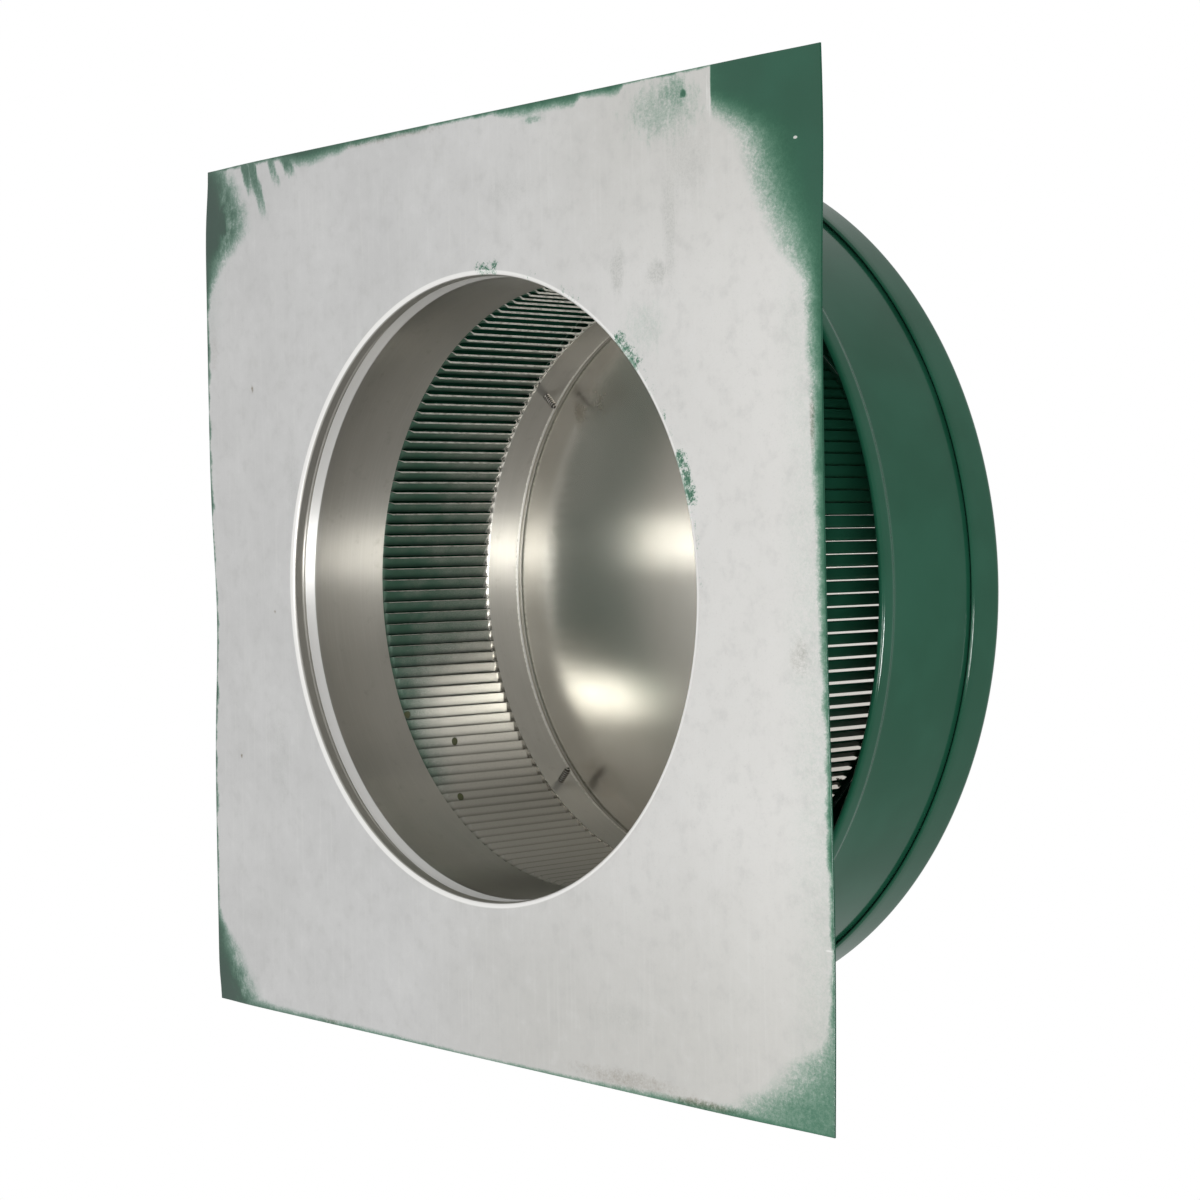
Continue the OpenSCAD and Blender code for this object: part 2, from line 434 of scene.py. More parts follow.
class Field:
    """A number or colour that varies over a surface, held as one output of a node tree."""

    def __init__(self, ink: "Ink", socket: bpy.types.NodeSocket) -> None:
        """Keeps the socket and the ink that it belongs to."""
        self.ink = ink
        self.socket = socket

    def math(self, operation: str, *others: Number, swapped: bool = False) -> "Field":
        """A Math node on this value and others.

        Args:
            operation: The node's operation.
            others: Its further inputs.
            swapped: Whether the first two inputs change places.

        Returns:
            The node's output.
        """
        node = self.ink.tree.nodes.new("ShaderNodeMath")
        node.operation = operation
        values = [self, *others]
        if swapped:
            values[0], values[1] = values[1], values[0]
        for socket, value in zip(node.inputs, values):
            self.ink.feed(socket, value)
        return Field(self.ink, node.outputs[0])

    def __add__(self, other: Number) -> "Field":
        """The sum."""
        return self.math("ADD", other)

    def __radd__(self, other: Number) -> "Field":
        """The sum."""
        return self.math("ADD", other)

    def __sub__(self, other: Number) -> "Field":
        """The difference."""
        return self.math("SUBTRACT", other)

    def __rsub__(self, other: Number) -> "Field":
        """The difference, with this value taken away."""
        return self.math("SUBTRACT", other, swapped=True)

    def __mul__(self, other: Number) -> "Field":
        """The product."""
        return self.math("MULTIPLY", other)

    def __truediv__(self, other: Number) -> "Field":
        """The quotient."""
        return self.math("DIVIDE", other)

    def larger(self, other: Number) -> "Field":
        """The larger of the two."""
        return self.math("MAXIMUM", other)

    def smaller(self, other: Number) -> "Field":
        """The smaller of the two."""
        return self.math("MINIMUM", other)

    def rise(self, low: float, high: float) -> "Field":
        """Eases from 0 at low to 1 at high; low may be the larger one.

        Args:
            low: Where the result is 0.
            high: Where the result is 1.

        Returns:
            A value from 0 to 1.
        """
        node = self.ink.tree.nodes.new("ShaderNodeMapRange")
        node.interpolation_type = "SMOOTHSTEP"
        self.ink.feed(node.inputs["Value"], self)
        rising = low < high
        node.inputs["From Min"].default_value = min(low, high)
        node.inputs["From Max"].default_value = max(low, high)
        node.inputs["To Min"].default_value = 0.0 if rising else 1.0
        node.inputs["To Max"].default_value = 1.0 if rising else 0.0
        return Field(self.ink, node.outputs["Result"])

    def follow(self, points: tuple[tuple[float, float], ...]) -> "Field":
        """A value read off a line drawn through points, with this value as the way along it.

        Args:
            points: Pairs of a place and the value there, in order of place, from 0 on.

        Returns:
            The value on the line.
        """
        span, top = points[-1][0], max(value for _, value in points)
        node = self.ink.tree.nodes.new("ShaderNodeFloatCurve")
        curve = node.mapping.curves[0]
        for _ in points[2:]:
            curve.points.new(0.5, 0.5)
        for knot, (place, value) in zip(curve.points, points):
            knot.location = (place / span, value / top)
            knot.handle_type = "VECTOR"
        node.mapping.update()
        self.ink.feed(node.inputs["Value"], self / span)
        return Field(self.ink, node.outputs[0]) * top

    def within(self, low: float, high: float, soft: float) -> "Field":
        """1 between low and high, easing to 0 over the width soft on both sides."""
        return self.rise(low - soft, low) * self.rise(high + soft, high)


class Ink:
    """Builds the nodes of one material. Its coordinates are the piece's own, in millimetres."""

    def __init__(self, name: str) -> None:
        """Makes the material and its coordinates.

        Args:
            name: Name of the material.
        """
        self.material = bpy.data.materials.new(name)
        self.material.use_nodes = True
        self.tree = self.material.node_tree
        self.tree.nodes.clear()
        coordinates = self.tree.nodes.new("ShaderNodeTexCoord")
        scale = self.tree.nodes.new("ShaderNodeVectorMath")
        scale.operation = "SCALE"
        scale.inputs["Scale"].default_value = 1 / MM
        self.tree.links.new(coordinates.outputs["Object"], scale.inputs[0])
        self.place = scale.outputs[0]
        split = self.tree.nodes.new("ShaderNodeSeparateXYZ")
        self.tree.links.new(self.place, split.inputs[0])
        self.x, self.y, self.z = (Field(self, s) for s in split.outputs)

    def feed(self, socket: bpy.types.NodeSocket, value: Number | Colour) -> None:
        """Links a field to a socket, or sets a plain number or colour on it.

        Args:
            socket: The input.
            value: A field, a number or a colour.
        """
        if isinstance(value, Field):
            self.tree.links.new(value.socket, socket)
        elif isinstance(value, tuple):
            socket.default_value = (*value, 1.0)
        else:
            socket.default_value = value

    def radius(self) -> Field:
        """Distance from the throat's axis."""
        return (self.x * self.x + self.y * self.y).math("SQRT")

    def angle(self) -> Field:
        """Direction about the throat's axis in degrees from +x, from -180 to 180."""
        return self.y.math("ARCTAN2", self.x) * math.degrees(1)

    def across(self) -> Field:
        """The mesh's own place across a strip.

        Returns:
            A value from 0 to 1.
        """
        node = self.tree.nodes.new("ShaderNodeAttribute")
        node.attribute_name = "across"
        return Field(self, node.outputs["Fac"])

    def join(self, x: Number, y: Number, z: Number) -> bpy.types.NodeSocket:
        """A vector of three values.

        Args:
            x: First value.
            y: Second value.
            z: Third value.

        Returns:
            The vector's socket.
        """
        node = self.tree.nodes.new("ShaderNodeCombineXYZ")
        for socket, value in zip(node.inputs, (x, y, z)):
            self.feed(socket, value)
        return node.outputs[0]

    def around(self, along: float) -> bpy.types.NodeSocket:
        """Coordinates for marks that run round the axis: turned once about it, shrunk by along.

        Args:
            along: How many times longer a mark is than it is wide.

        Returns:
            The vector (arc / along, radius, height) in millimetres, with the arc as a distance at the drum.
        """
        arc_length = self.angle() * (math.radians(1) * WALL_R_MM / along)
        return self.join(arc_length, self.radius(), self.z)

    def noise(
        self,
        size: float,
        detail: float = 2.0,
        rough: float = 0.5,
        stretch: Triple = (1.0, 1.0, 1.0),
        shift: float = 0.0,
        place: bpy.types.NodeSocket | None = None,
    ) -> Field:
        """Cloudy noise from 0 to 1, mostly between 0.3 and 0.7.

        Args:
            size: Width of a cloud in millimetres.
            detail: Number of finer layers.
            rough: Share of each finer layer.
            stretch: How many times longer the clouds are along each axis.
            shift: Moves the pattern, so that two noises of one size differ.
            place: Coordinates, or None for the piece's own.

        Returns:
            The noise.
        """
        mapping = self.tree.nodes.new("ShaderNodeMapping")
        mapping.inputs["Location"].default_value = (shift, shift * 1.7, shift * 0.6)
        mapping.inputs["Scale"].default_value = tuple(1 / s for s in stretch)
        self.tree.links.new(self.place if place is None else place, mapping.inputs["Vector"])
        node = self.tree.nodes.new("ShaderNodeTexNoise")
        node.inputs["Scale"].default_value = 1 / size
        node.inputs["Detail"].default_value = detail
        node.inputs["Roughness"].default_value = rough
        self.tree.links.new(mapping.outputs[0], node.inputs["Vector"])
        return Field(self, node.outputs["Fac"])

    def mix(self, amount: Number, low: Field | Colour, high: Field | Colour) -> Field:
        """A colour between two.

        Args:
            amount: 0 for low, 1 for high.
            low: First colour.
            high: Second colour.

        Returns:
            The mixed colour.
        """
        node = self.tree.nodes.new("ShaderNodeMix")
        node.data_type = "RGBA"
        node.clamp_factor = True
        self.feed(node.inputs[0], amount)
        self.feed(node.inputs[6], low)
        self.feed(node.inputs[7], high)
        return Field(self, node.outputs[2])

    def glaze(self, thickness: Field, under: Field, over: Field) -> Field:
        """A surface seen through a thin coat, which hides red first, then blue, then green.

        Formula: over + (under - over) * exp(-k * thickness), with k = 1 for red, 0.7 for green and
        0.85 for blue.

        Args:
            thickness: How thick the coat is; 1 hides most of the surface.
            under: Colour of the surface.
            over: Colour of a thick coat.

        Returns:
            The colour that is seen.
        """
        clear = self.join(*((thickness * -k).math("EXPONENT") for k in (1.0, 0.7, 0.85)))
        gap = self.tree.nodes.new("ShaderNodeVectorMath")
        gap.operation = "SUBTRACT"
        self.feed(gap.inputs[0], under)
        self.feed(gap.inputs[1], over)
        total = self.tree.nodes.new("ShaderNodeVectorMath")
        total.operation = "MULTIPLY_ADD"
        self.tree.links.new(gap.outputs[0], total.inputs[0])
        self.tree.links.new(clear, total.inputs[1])
        self.feed(total.inputs[2], over)
        return Field(self, total.outputs[0])

    def bump(self, height: Field) -> bpy.types.NodeSocket:
        """A normal from a height in millimetres.

        Args:
            height: The height.

        Returns:
            The normal's socket.
        """
        node = self.tree.nodes.new("ShaderNodeBump")
        node.inputs["Distance"].default_value = MM
        self.feed(node.inputs["Height"], height)
        return node.outputs["Normal"]

    def finish(self, normal: bpy.types.NodeSocket, **values: Number | Colour) -> bpy.types.Material:
        """Ends the material in one Principled shader.

        Args:
            normal: Its normal.
            values: Its inputs by name, with an underscore for each blank.

        Returns:
            The material.
        """
        shader = self.tree.nodes.new("ShaderNodeBsdfPrincipled")
        for name, value in values.items():
            self.feed(shader.inputs[name.replace("_", " ")], value)
        self.tree.links.new(normal, shader.inputs["Normal"])
        output = self.tree.nodes.new("ShaderNodeOutputMaterial")
        self.tree.links.new(shader.outputs[0], output.inputs["Surface"])
        return self.material


@dataclass(frozen=True)
class GreenEnamel:
    """Glossy green enamel as it is sprayed over the assembled vent.

    Attributes:
        deep: Colour where the coat is thick.
        thin: Colour where the coat is thin.
        seam_shade: Colour of the painted shade in a seam.
        gloss: Roughness of a clean place.
        seam: Radius and height in millimetres of a seam darkened with painted shade, or None.
    """

    deep: Colour = seen(27, 77, 57)
    thin: Colour = seen(32, 83, 63)
    seam_shade: Colour = (0.003, 0.008, 0.006)
    gloss: float = 0.12
    seam: tuple[float, float] | None = None

    def colour(self, ink: Ink) -> Field:
        """The coat's colour, with clouds of thinner paint."""
        clouds = ink.noise(38, detail=3)
        return ink.mix(clouds.rise(0.35, 0.7), self.deep, self.thin)

    def peel(self, ink: Ink) -> Field:
        """Height of the orange peel and of fine dust under the coat, in millimetres."""
        dust = ink.noise(0.9, detail=1, shift=5).rise(0.72, 0.82)
        return ink.noise(3.2, detail=1) * 0.012 + dust * 0.012

    def dress(self, name: str) -> bpy.types.Material:
        """The finish as a material.

        Args:
            name: Name of the material.

        Returns:
            The material.
        """
        ink = Ink(name)
        hazy = ink.noise(60, detail=4, shift=11).rise(0.45, 0.75)
        colour = self.colour(ink)
        if self.seam is not None:
            radius, height = self.seam
            # Painted shade: the inner half of the fold under the rim is darkened, for the shade in the
            # seam.
            inside = ink.radius().rise(radius + 0.2, radius - 0.1)
            low = ink.z.rise(height + 2.5, height + 1.0)
            colour = ink.mix(inside * low * 0.95, colour, self.seam_shade)
        return ink.finish(
            ink.bump(self.peel(ink)),
            Base_Color=colour,
            Roughness=self.gloss + hazy * 0.04,
            Specular_IOR_Level=0.14,
        )


@dataclass(frozen=True)
class Streak:
    """A stroke of green that a wipe left at the flange's upper edge.

    Attributes:
        start: Distance of its first side from the +x edge, in millimetres.
        width: Its width.
        depth: How far it reaches from the edge.
        strength: How dense it is.
    """

    start: float
    width: float
    depth: float
    strength: float


@dataclass(frozen=True)
class Scuff:
    """A small rubbed, scratched or soiled place on the flange's underside or inside the dome.

    Attributes:
        x: Place along x in millimetres.
        y: Place along y.
        wide: Half its width.
        high: Half its height.
        strength: How dense it is.
    """

    x: float
    y: float
    wide: float
    high: float
    strength: float


@dataclass(frozen=True)
class FlangeUnderside:
    """Bare mill aluminium with green overspray creeping in from the corners and edges.

    Attributes:
        half: Half the flange's side in millimetres.
        throat: Radius of the throat in millimetres.
        metal: Colour of the clean sheet.
        dull: Colour of its duller clouds.
        lit_side: Colour towards the -x edge, where it is brightest: a painted brightening where the light
            falls strongest.
        aged: Colour towards the greyed corners at the -x edge.
        smudge: Colour of its darker mottling.
        clear: Colour of its lighter mottling.
        roll_mark: Colour of the fine lines that rolling left.
        pit: Colour of its finest specks.
        scratch: Colour of fresh scratches.
        lip_highlight: Colour of the throat's lip, a painted highlight on the bend into the neck.
        wall_shade: Colour of the neck's wall, painted darker as the shade of its inward-facing surface.
        brown: Colour of the brown scuffs.
        grime: Colour of the grey scuffs.
        shaded: Colour of the coat towards the +x edge, painted darker there as shade.
        enamel: The coat that oversprays it.
        chip: Place of the one chip in the coat, in millimetres.
        tape: Distance from the -x edge at which a strip of tape ended the spray, near the upper edge.
        streaks: Strokes that a wipe left at the upper edge.
        green_scuffs: Places rubbed with green.
        grey_scuffs: Places soiled with grey.
        brown_scuffs: Places soiled with brown.
        lip_spots: First and last direction of each speckled stretch of the lip in degrees, how softly it
            ends, and how dense it is.
        scratches: Places scratched to the bare metal.
        right_edge: How far the spray reaches in from the -x edge: pairs of the distance from the upper
            edge and the reach, in millimetres.
        left_edge: The same from the +x edge.
        upper_edge: How far it reaches in from the upper edge, by the distance from the +x edge.
        lower_edge: The same from the lower edge.
    """

    half: float
    throat: float
    metal: Colour = seen(208, 208, 207)
    dull: Colour = seen(202, 202, 201)
    lit_side: Colour = seen(240, 238, 232)
    aged: Colour = seen(186, 185, 179)
    smudge: Colour = seen(184, 184, 182)
    clear: Colour = seen(222, 222, 221)
    roll_mark: Colour = seen(224, 224, 221)
    pit: Colour = seen(184, 184, 181)
    scratch: Colour = seen(236, 236, 233)
    lip_highlight: Colour = seen(240, 239, 236)
    wall_shade: Colour = (0.40, 0.39, 0.36)
    brown: Colour = seen(120, 105, 80)
    grime: Colour = seen(128, 134, 126)
    shaded: Colour = seen(40, 66, 56)
    enamel: GreenEnamel = GreenEnamel(deep=seen(26, 80, 59), thin=seen(30, 86, 65))
    chip: tuple[float, float] = (-214.0, 191.3)
    tape: float = 62.8
    streaks: tuple[Streak, ...] = (
        Streak(34, 7, 15, 0.95),
        Streak(41, 6.5, 26, 0.85),
        Streak(59.5, 6, 12, 0.55),
        Streak(72, 9, 9.5, 0.95),
    )
    green_scuffs: tuple[Scuff, ...] = (
        Scuff(-143, 219, 12, 11, 0.42),
        Scuff(-148.6, 218.6, 2.4, 2.4, 0.9),
        Scuff(-136, 214, 26, 16, 0.3),
        Scuff(-122, 118, 16, 14, 0.16),
        Scuff(-48, 220.5, 9, 2.4, 0.4),
        Scuff(-76, 197, 16, 6, 0.05),
    )
    grey_scuffs: tuple[Scuff, ...] = (
        Scuff(-139, 165, 5, 30, 0.22),
        Scuff(-105, 146, 5, 12, 0.3),
        Scuff(-131, 142, 8, 6, 0.3),
        Scuff(-150, 190, 14, 20, 0.14),
        Scuff(-30, 190, 16, 8, 0.1),
        Scuff(150, 60, 5, 30, 0.1),
        Scuff(165, -90, 7, 26, 0.12),
        Scuff(-100, -195, 26, 7, 0.1),
    )
    brown_scuffs: tuple[Scuff, ...] = (
        Scuff(-213.5, -27, 6, 8, 0.2),
        Scuff(-154, -227, 25, 2.6, 0.8),
        Scuff(-223, 72, 1.6, 14, 0.5),
        Scuff(-103, -223, 36, 4.5, 0.28),
        Scuff(186, 107, 1.2, 2.2, 0.8),
        Scuff(168.5, -13, 1, 1, 0.9),
        Scuff(203, -92, 1, 1.2, 0.9),
        Scuff(125, -227.5, 9, 1.5, 0.5),
        Scuff(70, 227, 60, 2.5, 0.3),
        Scuff(222, 130, 5, 12, 0.12),
    )
    lip_spots: tuple[tuple[float, float, float, float], ...] = (
        (92, 97, 1.5, 0.85), (105, 108, 1, 0.5), (115, 120, 1.5, 0.55), (132, 139, 2, 1.0),
        (141, 152, 3, 0.5), (157, 165, 2, 1.1), (167, 178, 4, 0.5),
    )
    scratches: tuple[Scuff, ...] = (
        Scuff(-225.5, -150.2, 2.4, 0.5, 1.0),
        Scuff(-227.6, -162.5, 0.45, 2.2, 1.0),
        Scuff(-165, 214, 0.7, 11, 0.4),
        Scuff(-163.5, 217, 0.5, 8, 0.5),
    )
    right_edge: tuple[tuple[float, float], ...] = (
        (0, 78), (11, 75), (18, 60), (25, 47), (33, 36), (44, 32), (55, 28.6), (70, 20.6), (87, 12),
        (98, 5.6), (120, 4.8), (140, 3.6), (170, 3.3), (200, 2.8), (250, 2.0), (300, 1.3), (404, 1.2),
        (414, 2.0), (420, 4.3), (430, 15.7), (443, 30), (447, 41), (453.6, 51), (457.2, 56),
    )
    left_edge: tuple[tuple[float, float], ...] = (
        (0, 14.5), (8, 21), (17, 29), (25, 34), (34, 35.5), (40, 30), (45, 22), (50, 15), (55, 10), (62, 6),
        (72, 2.4), (80, 1.4), (200, 1.1), (395, 1.2), (407, 1.9), (413.7, 4.2), (423.7, 11.7), (433.7, 19),
        (442, 27.5), (452, 33), (457.2, 36),
    )
    upper_edge: tuple[tuple[float, float], ...] = (
        (0, 0.6), (70, 0.8), (76, 2.6), (84, 3.6), (88, 4.6), (100, 4.4), (112, 3.4), (125, 2.5),
        (135, 1.4), (190, 1.2), (200, 0.5), (246, 0.5), (252, 1.6), (262, 2.7), (306, 2.9), (310, 0.8),
        (315, 1.7), (336, 2.1), (339, 0.2), (457.2, 0.2),
    )
    lower_edge: tuple[tuple[float, float], ...] = (
        (0, 3.4), (36, 3.4), (55, 2.1), (80, 1.7), (130, 1.4), (180, 0.8), (230, 0.6), (300, 0.9),
        (360, 1.8), (390, 2.3), (404, 3.6), (457.2, 3.6),
    )

    def crept(self, place: Field, edge: Field, widest: float, start: float) -> Field:
        """Overspray that crept in from one edge, thick at the edge and fading out beyond its reach.

        Formula: the square of (start - (place - edge) / fade), where the fade is 0.9 * edge + 0.8, at
        most widest.

        Args:
            place: Distance from the edge in millimetres.
            edge: How far the spray reaches.
            widest: Upper limit of the fade.
            start: How many fades beyond its reach the spray begins.

        Returns:
            The thickness of the spray, 0 or more.
        """
        fade = (edge * 0.9 + 0.8).smaller(widest)
        way = (start - (place - edge) / fade).larger(0.0)
        return way * way

    def streaked(self, ink: Ink, top: Field, left: Field) -> Field:
        """Strokes that a wipe left at the upper edge, torn along their own slant.

        Args:
            ink: The material.
            top: Distance from the upper edge.
            left: Distance from the +x edge.

        Returns:
            The density, 0 to 1.
        """
        slanted = left - top * 0.42
        torn = ink.noise(3.4, detail=4, rough=0.7, stretch=(1.0, 5.0, 1.0), shift=12) - 0.5
        total = top * 0
        for s in self.streaks:
            sides = (slanted + torn * 7).within(s.start + 1.4, s.start + s.width - 1.4, 2.6)
            depth = (top + torn * 16).rise(s.depth * 1.35, s.depth * 0.2)
            total = total.larger(sides * depth * s.strength)
        return total

    def spray(self, ink: Ink) -> Field:
        """Thickness of the green overspray, with its grain.

        Args:
            ink: The material.

        Returns:
            The thickness, 0 or more.
        """
        wavy = ink.noise(13, detail=4, rough=0.6, shift=3) - 0.5
        left, right = self.half - ink.x, self.half + ink.x
        top, bottom = self.half - ink.y, self.half + ink.y

        # Near the upper edge a strip of tape ended the spray of the -x edge in a straight line.
        taped = (right + wavy * 1.2).rise(self.tape + 0.6, self.tape - 0.6).larger(top.rise(17, 34))
        total = self.crept(right + wavy * 7, top.follow(self.right_edge), 14.0, 1.1) * taped
        # The lower corner of that edge holds a thinner coat.
        thin = (1 - (total * -0.25).math("EXPONENT")) * 1.9
        total = total + (thin - total) * ink.y.rise(-150, -188)
        # The spray of the +x edge is mottled, except close to the edge.
        mottled = ink.noise(7, detail=4, rough=0.7, stretch=(1.0, 1.6, 1.0), shift=31).rise(0.3, 0.62)
        lobe = self.crept(left + wavy * 9, top.follow(self.left_edge), 14.0, 0.85)
        total = total.larger(lobe * ((mottled * 0.8 + 0.3).larger(left.rise(22, 8)) * 1.35))
        total = total.larger(self.crept(top + wavy * 4, left.follow(self.upper_edge), 4.0, 1.3))
        total = total.larger(self.crept(bottom + wavy * 2, left.follow(self.lower_edge), 3.4, 1.0) * 0.7)
        total = total.larger(self.streaked(ink, top, left) * 2.6)
        scuffed = self.rubbed(ink, self.green_scuffs, 2.5)
        total = total + scuffed * scuffed * 4.2 + self.lip(ink) * 2.6
        # A faint mist reaches further in than the spray itself.
        total = total + (right + wavy * 16).rise(30, 2) * 0.08
        total = total + (left + wavy * 16).rise(20, 1) * top.rise(110, 30) * 0.2
        return self.speckled(ink, total)

    def speckled(self, ink: Ink, thickness: Field) -> Field:
        """Breaks a thickness up into the grain of fine droplets.

        Args:
            ink: The material.
            thickness: The mean thickness.

        Returns:
            The same thickness on average.
        """
        grain = ink.noise(1.5, detail=4, rough=0.85) - 0.5
        lumps = ink.noise(4.6, detail=3, rough=0.65, shift=41) - 0.5
        sparse = (thickness * -1.1).math("EXPONENT")
        return (thickness * (1 + grain * (sparse * 7.5 + 0.9) + lumps * (sparse * 2.2 + 0.3))).larger(0.0)

    def rubbed(self, ink: Ink, scuffs: tuple[Scuff, ...], long: float = 1.0) -> Field:
        """Density of a set of scuffs, each a soft oval broken up by noise.

        Args:
            ink: The material.
            scuffs: The places.
            long: How many times longer than wide the marks in them are.

        Returns:
            The density, 0 to 1.
        """
        torn = ink.noise(4.2, detail=5, rough=0.78, stretch=(1.0, long, 1.0), shift=7) - 0.5
        total = torn * 0
        for s in scuffs:
            u, v = (ink.x - s.x) / s.wide, (ink.y - s.y) / s.high
            oval = (u * u + v * v).math("SQRT")
            total = total.larger((oval + torn * 2.2).rise(1.3, 0.25) * s.strength)
        return total

    def lip(self, ink: Ink) -> Field:
        """Green speckle that clings to the throat's lip in some places, dense in three of them.

        Args:
            ink: The material.

        Returns:
            The thickness, 0 or more.
        """
        radius, angle = ink.radius(), ink.angle()
        near = (radius - self.throat).within(0.6, 4.0, 7)
        dense = angle * 0
        for low, high, soft, amount in self.lip_spots:
            dense = dense.larger(angle.within(low, high, soft) * amount)
        torn = ink.noise(2.3, detail=5, rough=0.85, shift=21) - 0.5
        speckle = (near * 0.6 + dense * 0.75 - 0.72 + torn * 3.0).rise(0.42, 0.9)
        return speckle * dense.rise(0.0, 0.3) * near.rise(0.0, 0.4) * 1.3

    def dress(self) -> bpy.types.Material:
        """The finish as a material.

        Returns:
            The material.
        """
        ink = Ink("flange_underside")
        thickness = self.spray(ink)
        soiled = self.speckled(ink, self.rubbed(ink, self.brown_scuffs)).smaller(1.0) * 0.75
        scratched = self.rubbed(ink, self.scratches) * 0.8
        clouds = ink.noise(52, detail=4, rough=0.55, shift=2)
        mottled = ink.noise(11, detail=5, rough=0.65, shift=17)
        fine = ink.noise(0.9, detail=3, rough=0.7, shift=29)
        rolled = ink.noise(1.8, detail=2, stretch=(1.0, 30.0, 1.0))
        inward = ink.radius() - self.throat
        lip = inward.rise(3.0, 2.2)
        wall = inward.rise(0.7, 0.35)
        metal = ink.mix(clouds.rise(0.3, 0.7), self.metal, self.dull)
        # Painted light: the plate is brightened towards the -x edge, the side the light falls on most.
        metal = ink.mix(ink.x.rise(80, -230) * 0.42, metal, self.lit_side)
        metal = ink.mix(ink.y.rise(120, 220) * ink.x.rise(-20, -120) * 0.4, metal, self.aged)
        metal = ink.mix(ink.y.rise(-90, -215) * ink.x.rise(80, -60) * 0.5, metal, self.aged)
        metal = ink.mix(mottled.rise(0.48, 0.72) * 0.26, metal, self.smudge)
        metal = ink.mix(mottled.rise(0.46, 0.3) * 0.16, metal, self.clear)
        metal = ink.mix(rolled.rise(0.5, 0.8) * 0.16, metal, self.roll_mark)
        metal = ink.mix(fine.rise(0.55, 0.8) * 0.35, metal, self.pit)
        rubbed = self.rubbed(ink, self.grey_scuffs, 3.5)
        metal = ink.mix(rubbed * (fine.rise(0.35, 0.65) * 0.7 + 0.3), metal, self.grime)
        metal = ink.mix(soiled, metal, self.brown)
        metal = ink.mix(scratched, metal, self.scratch)
        # Painted highlight on the bend of the throat's lip.
        metal = ink.mix(lip, metal, self.lip_highlight)
        # Painted shade on the neck's wall, which faces into the throat.
        metal = ink.mix(wall, metal, self.wall_shade)
        along, up = ink.x - self.chip[0], ink.y - self.chip[1]
        chip = (along * along * 0.6 + up * up * 1.8).rise(0.5, 1.3)
        thickness = thickness * chip * (1 - scratched) * (1 - lip * 0.6)
        green = 1 - (thickness * -1.0).math("EXPONENT")
        # Painted shade: the coat darkens towards the +x edge, away from where the light falls strongest.
        coat = ink.mix(ink.x.rise(60, 190) * 0.75, self.enamel.colour(ink), self.shaded)
        height = rolled * 0.008 + mottled * 0.012 + fine * 0.01 + green * 0.02
        return ink.finish(
            ink.bump(height),
            Base_Color=ink.glaze(thickness, metal, coat),
            Metallic=(1 - green) * (1 - soiled) * (0.6 + wall * 0.15),
            Roughness=0.46 + mottled * 0.12 - green * 0.14 - lip * 0.16,
            Specular_IOR_Level=0.4,
        )


@dataclass(frozen=True)
class RolledSheet:
    """Bright aluminium sheet rolled into the drum, with brush marks that run round it.

    Attributes:
        name: Name of the material.
        bright: Colour of the clean metal.
        tired: Colour of its duller places.
        roughness: Roughness of the clean metal.
        brushed: How much the brush marks stretch its highlights.
        metallic: How much of it shines as metal; the rest is a dull grey film.
        dark: Colour of its painted shade.
        line: Colour of the brush marks.
        mark: Colour of its blotches.
        rubbed: Colour of the plain band above the slats, a painted highlight that lightens it.
        shoulder_highlight: Colour of the shoulder, a painted reflection of the white below, which the slope
            faces.
        shoulder: First and last height of that shoulder in millimetres.
        top_band: Heights between which the plain band's colour sets in.
    """

    name: str = "rolled_sheet"
    bright: Colour = (0.50, 0.486, 0.447)
    tired: Colour = (0.43, 0.418, 0.382)
    roughness: float = 0.32
    brushed: float = 0.9
    metallic: float = 1.0
    dark: Colour = (0.16, 0.155, 0.135)
    line: Colour = (0.68, 0.67, 0.64)
    mark: Colour = seen(128, 122, 110)
    rubbed: Colour = (0.72, 0.70, 0.65)
    shoulder_highlight: Colour = (0.80, 0.795, 0.78)
    shoulder: tuple[float, float] = (9.9, 14.1)
    top_band: tuple[float, float] = (128.0, 136.0)

    def dress(self) -> bpy.types.Material:
        """The finish as a material.

        Returns:
            The material.
        """
        ink = Ink(self.name)
        lines = ink.noise(0.8, detail=2, rough=0.6, place=ink.around(90))
        clouds = ink.noise(24, detail=3, place=ink.around(3), shift=4)
        marks = ink.noise(9, detail=4, rough=0.65, shift=9).rise(0.56, 0.8)
        metal = ink.mix(clouds.rise(0.35, 0.7) * 0.6, self.bright, self.tired)
        metal = ink.mix(lines.rise(0.45, 0.8) * 0.16, metal, self.line)
        metal = ink.mix(marks * 0.25, metal, self.mark)
        turned = ink.angle()
        upper = ink.z.rise(*self.top_band)
        # Painted shade: darker on the -y side, a little on the +y side and between +x and -y, for the
        # darker reflections there.
        soiled = turned.within(-128, -84, 22) * 0.84 + turned.within(66, 92, 16) * 0.25
        soiled = soiled.larger(turned.within(-70, -16, 10) * 0.17)
        metal = ink.mix(soiled * (1 - upper), metal, self.dark)
        # Painted highlight: the plain band above the slats is lightened.
        metal = ink.mix(upper * 0.12, metal, self.rubbed)
        # Painted reflection: the shoulder is brightened for the white below that it faces, less on the side
        # away from the light.
        shoulder_highlight = ink.z.within(*self.shoulder, 0.15)
        metal = ink.mix(shoulder_highlight * (0.8 - turned.rise(12, 60) * 0.45), metal, self.shoulder_highlight)
        spread = ink.z.rise(14, 60) * 0.1 - 0.07 + shoulder_highlight * 0.16
        return ink.finish(
            ink.bump(lines * 0.006 + clouds * 0.01),
            Base_Color=metal,
            Metallic=self.metallic - shoulder_highlight * 0.3,
            Roughness=self.roughness + spread + clouds * 0.06 + lines * 0.04 + marks * 0.05 + upper * 0.05,
            Anisotropic=self.brushed,
            Anisotropic_Rotation=BRUSH_TURN,
        )


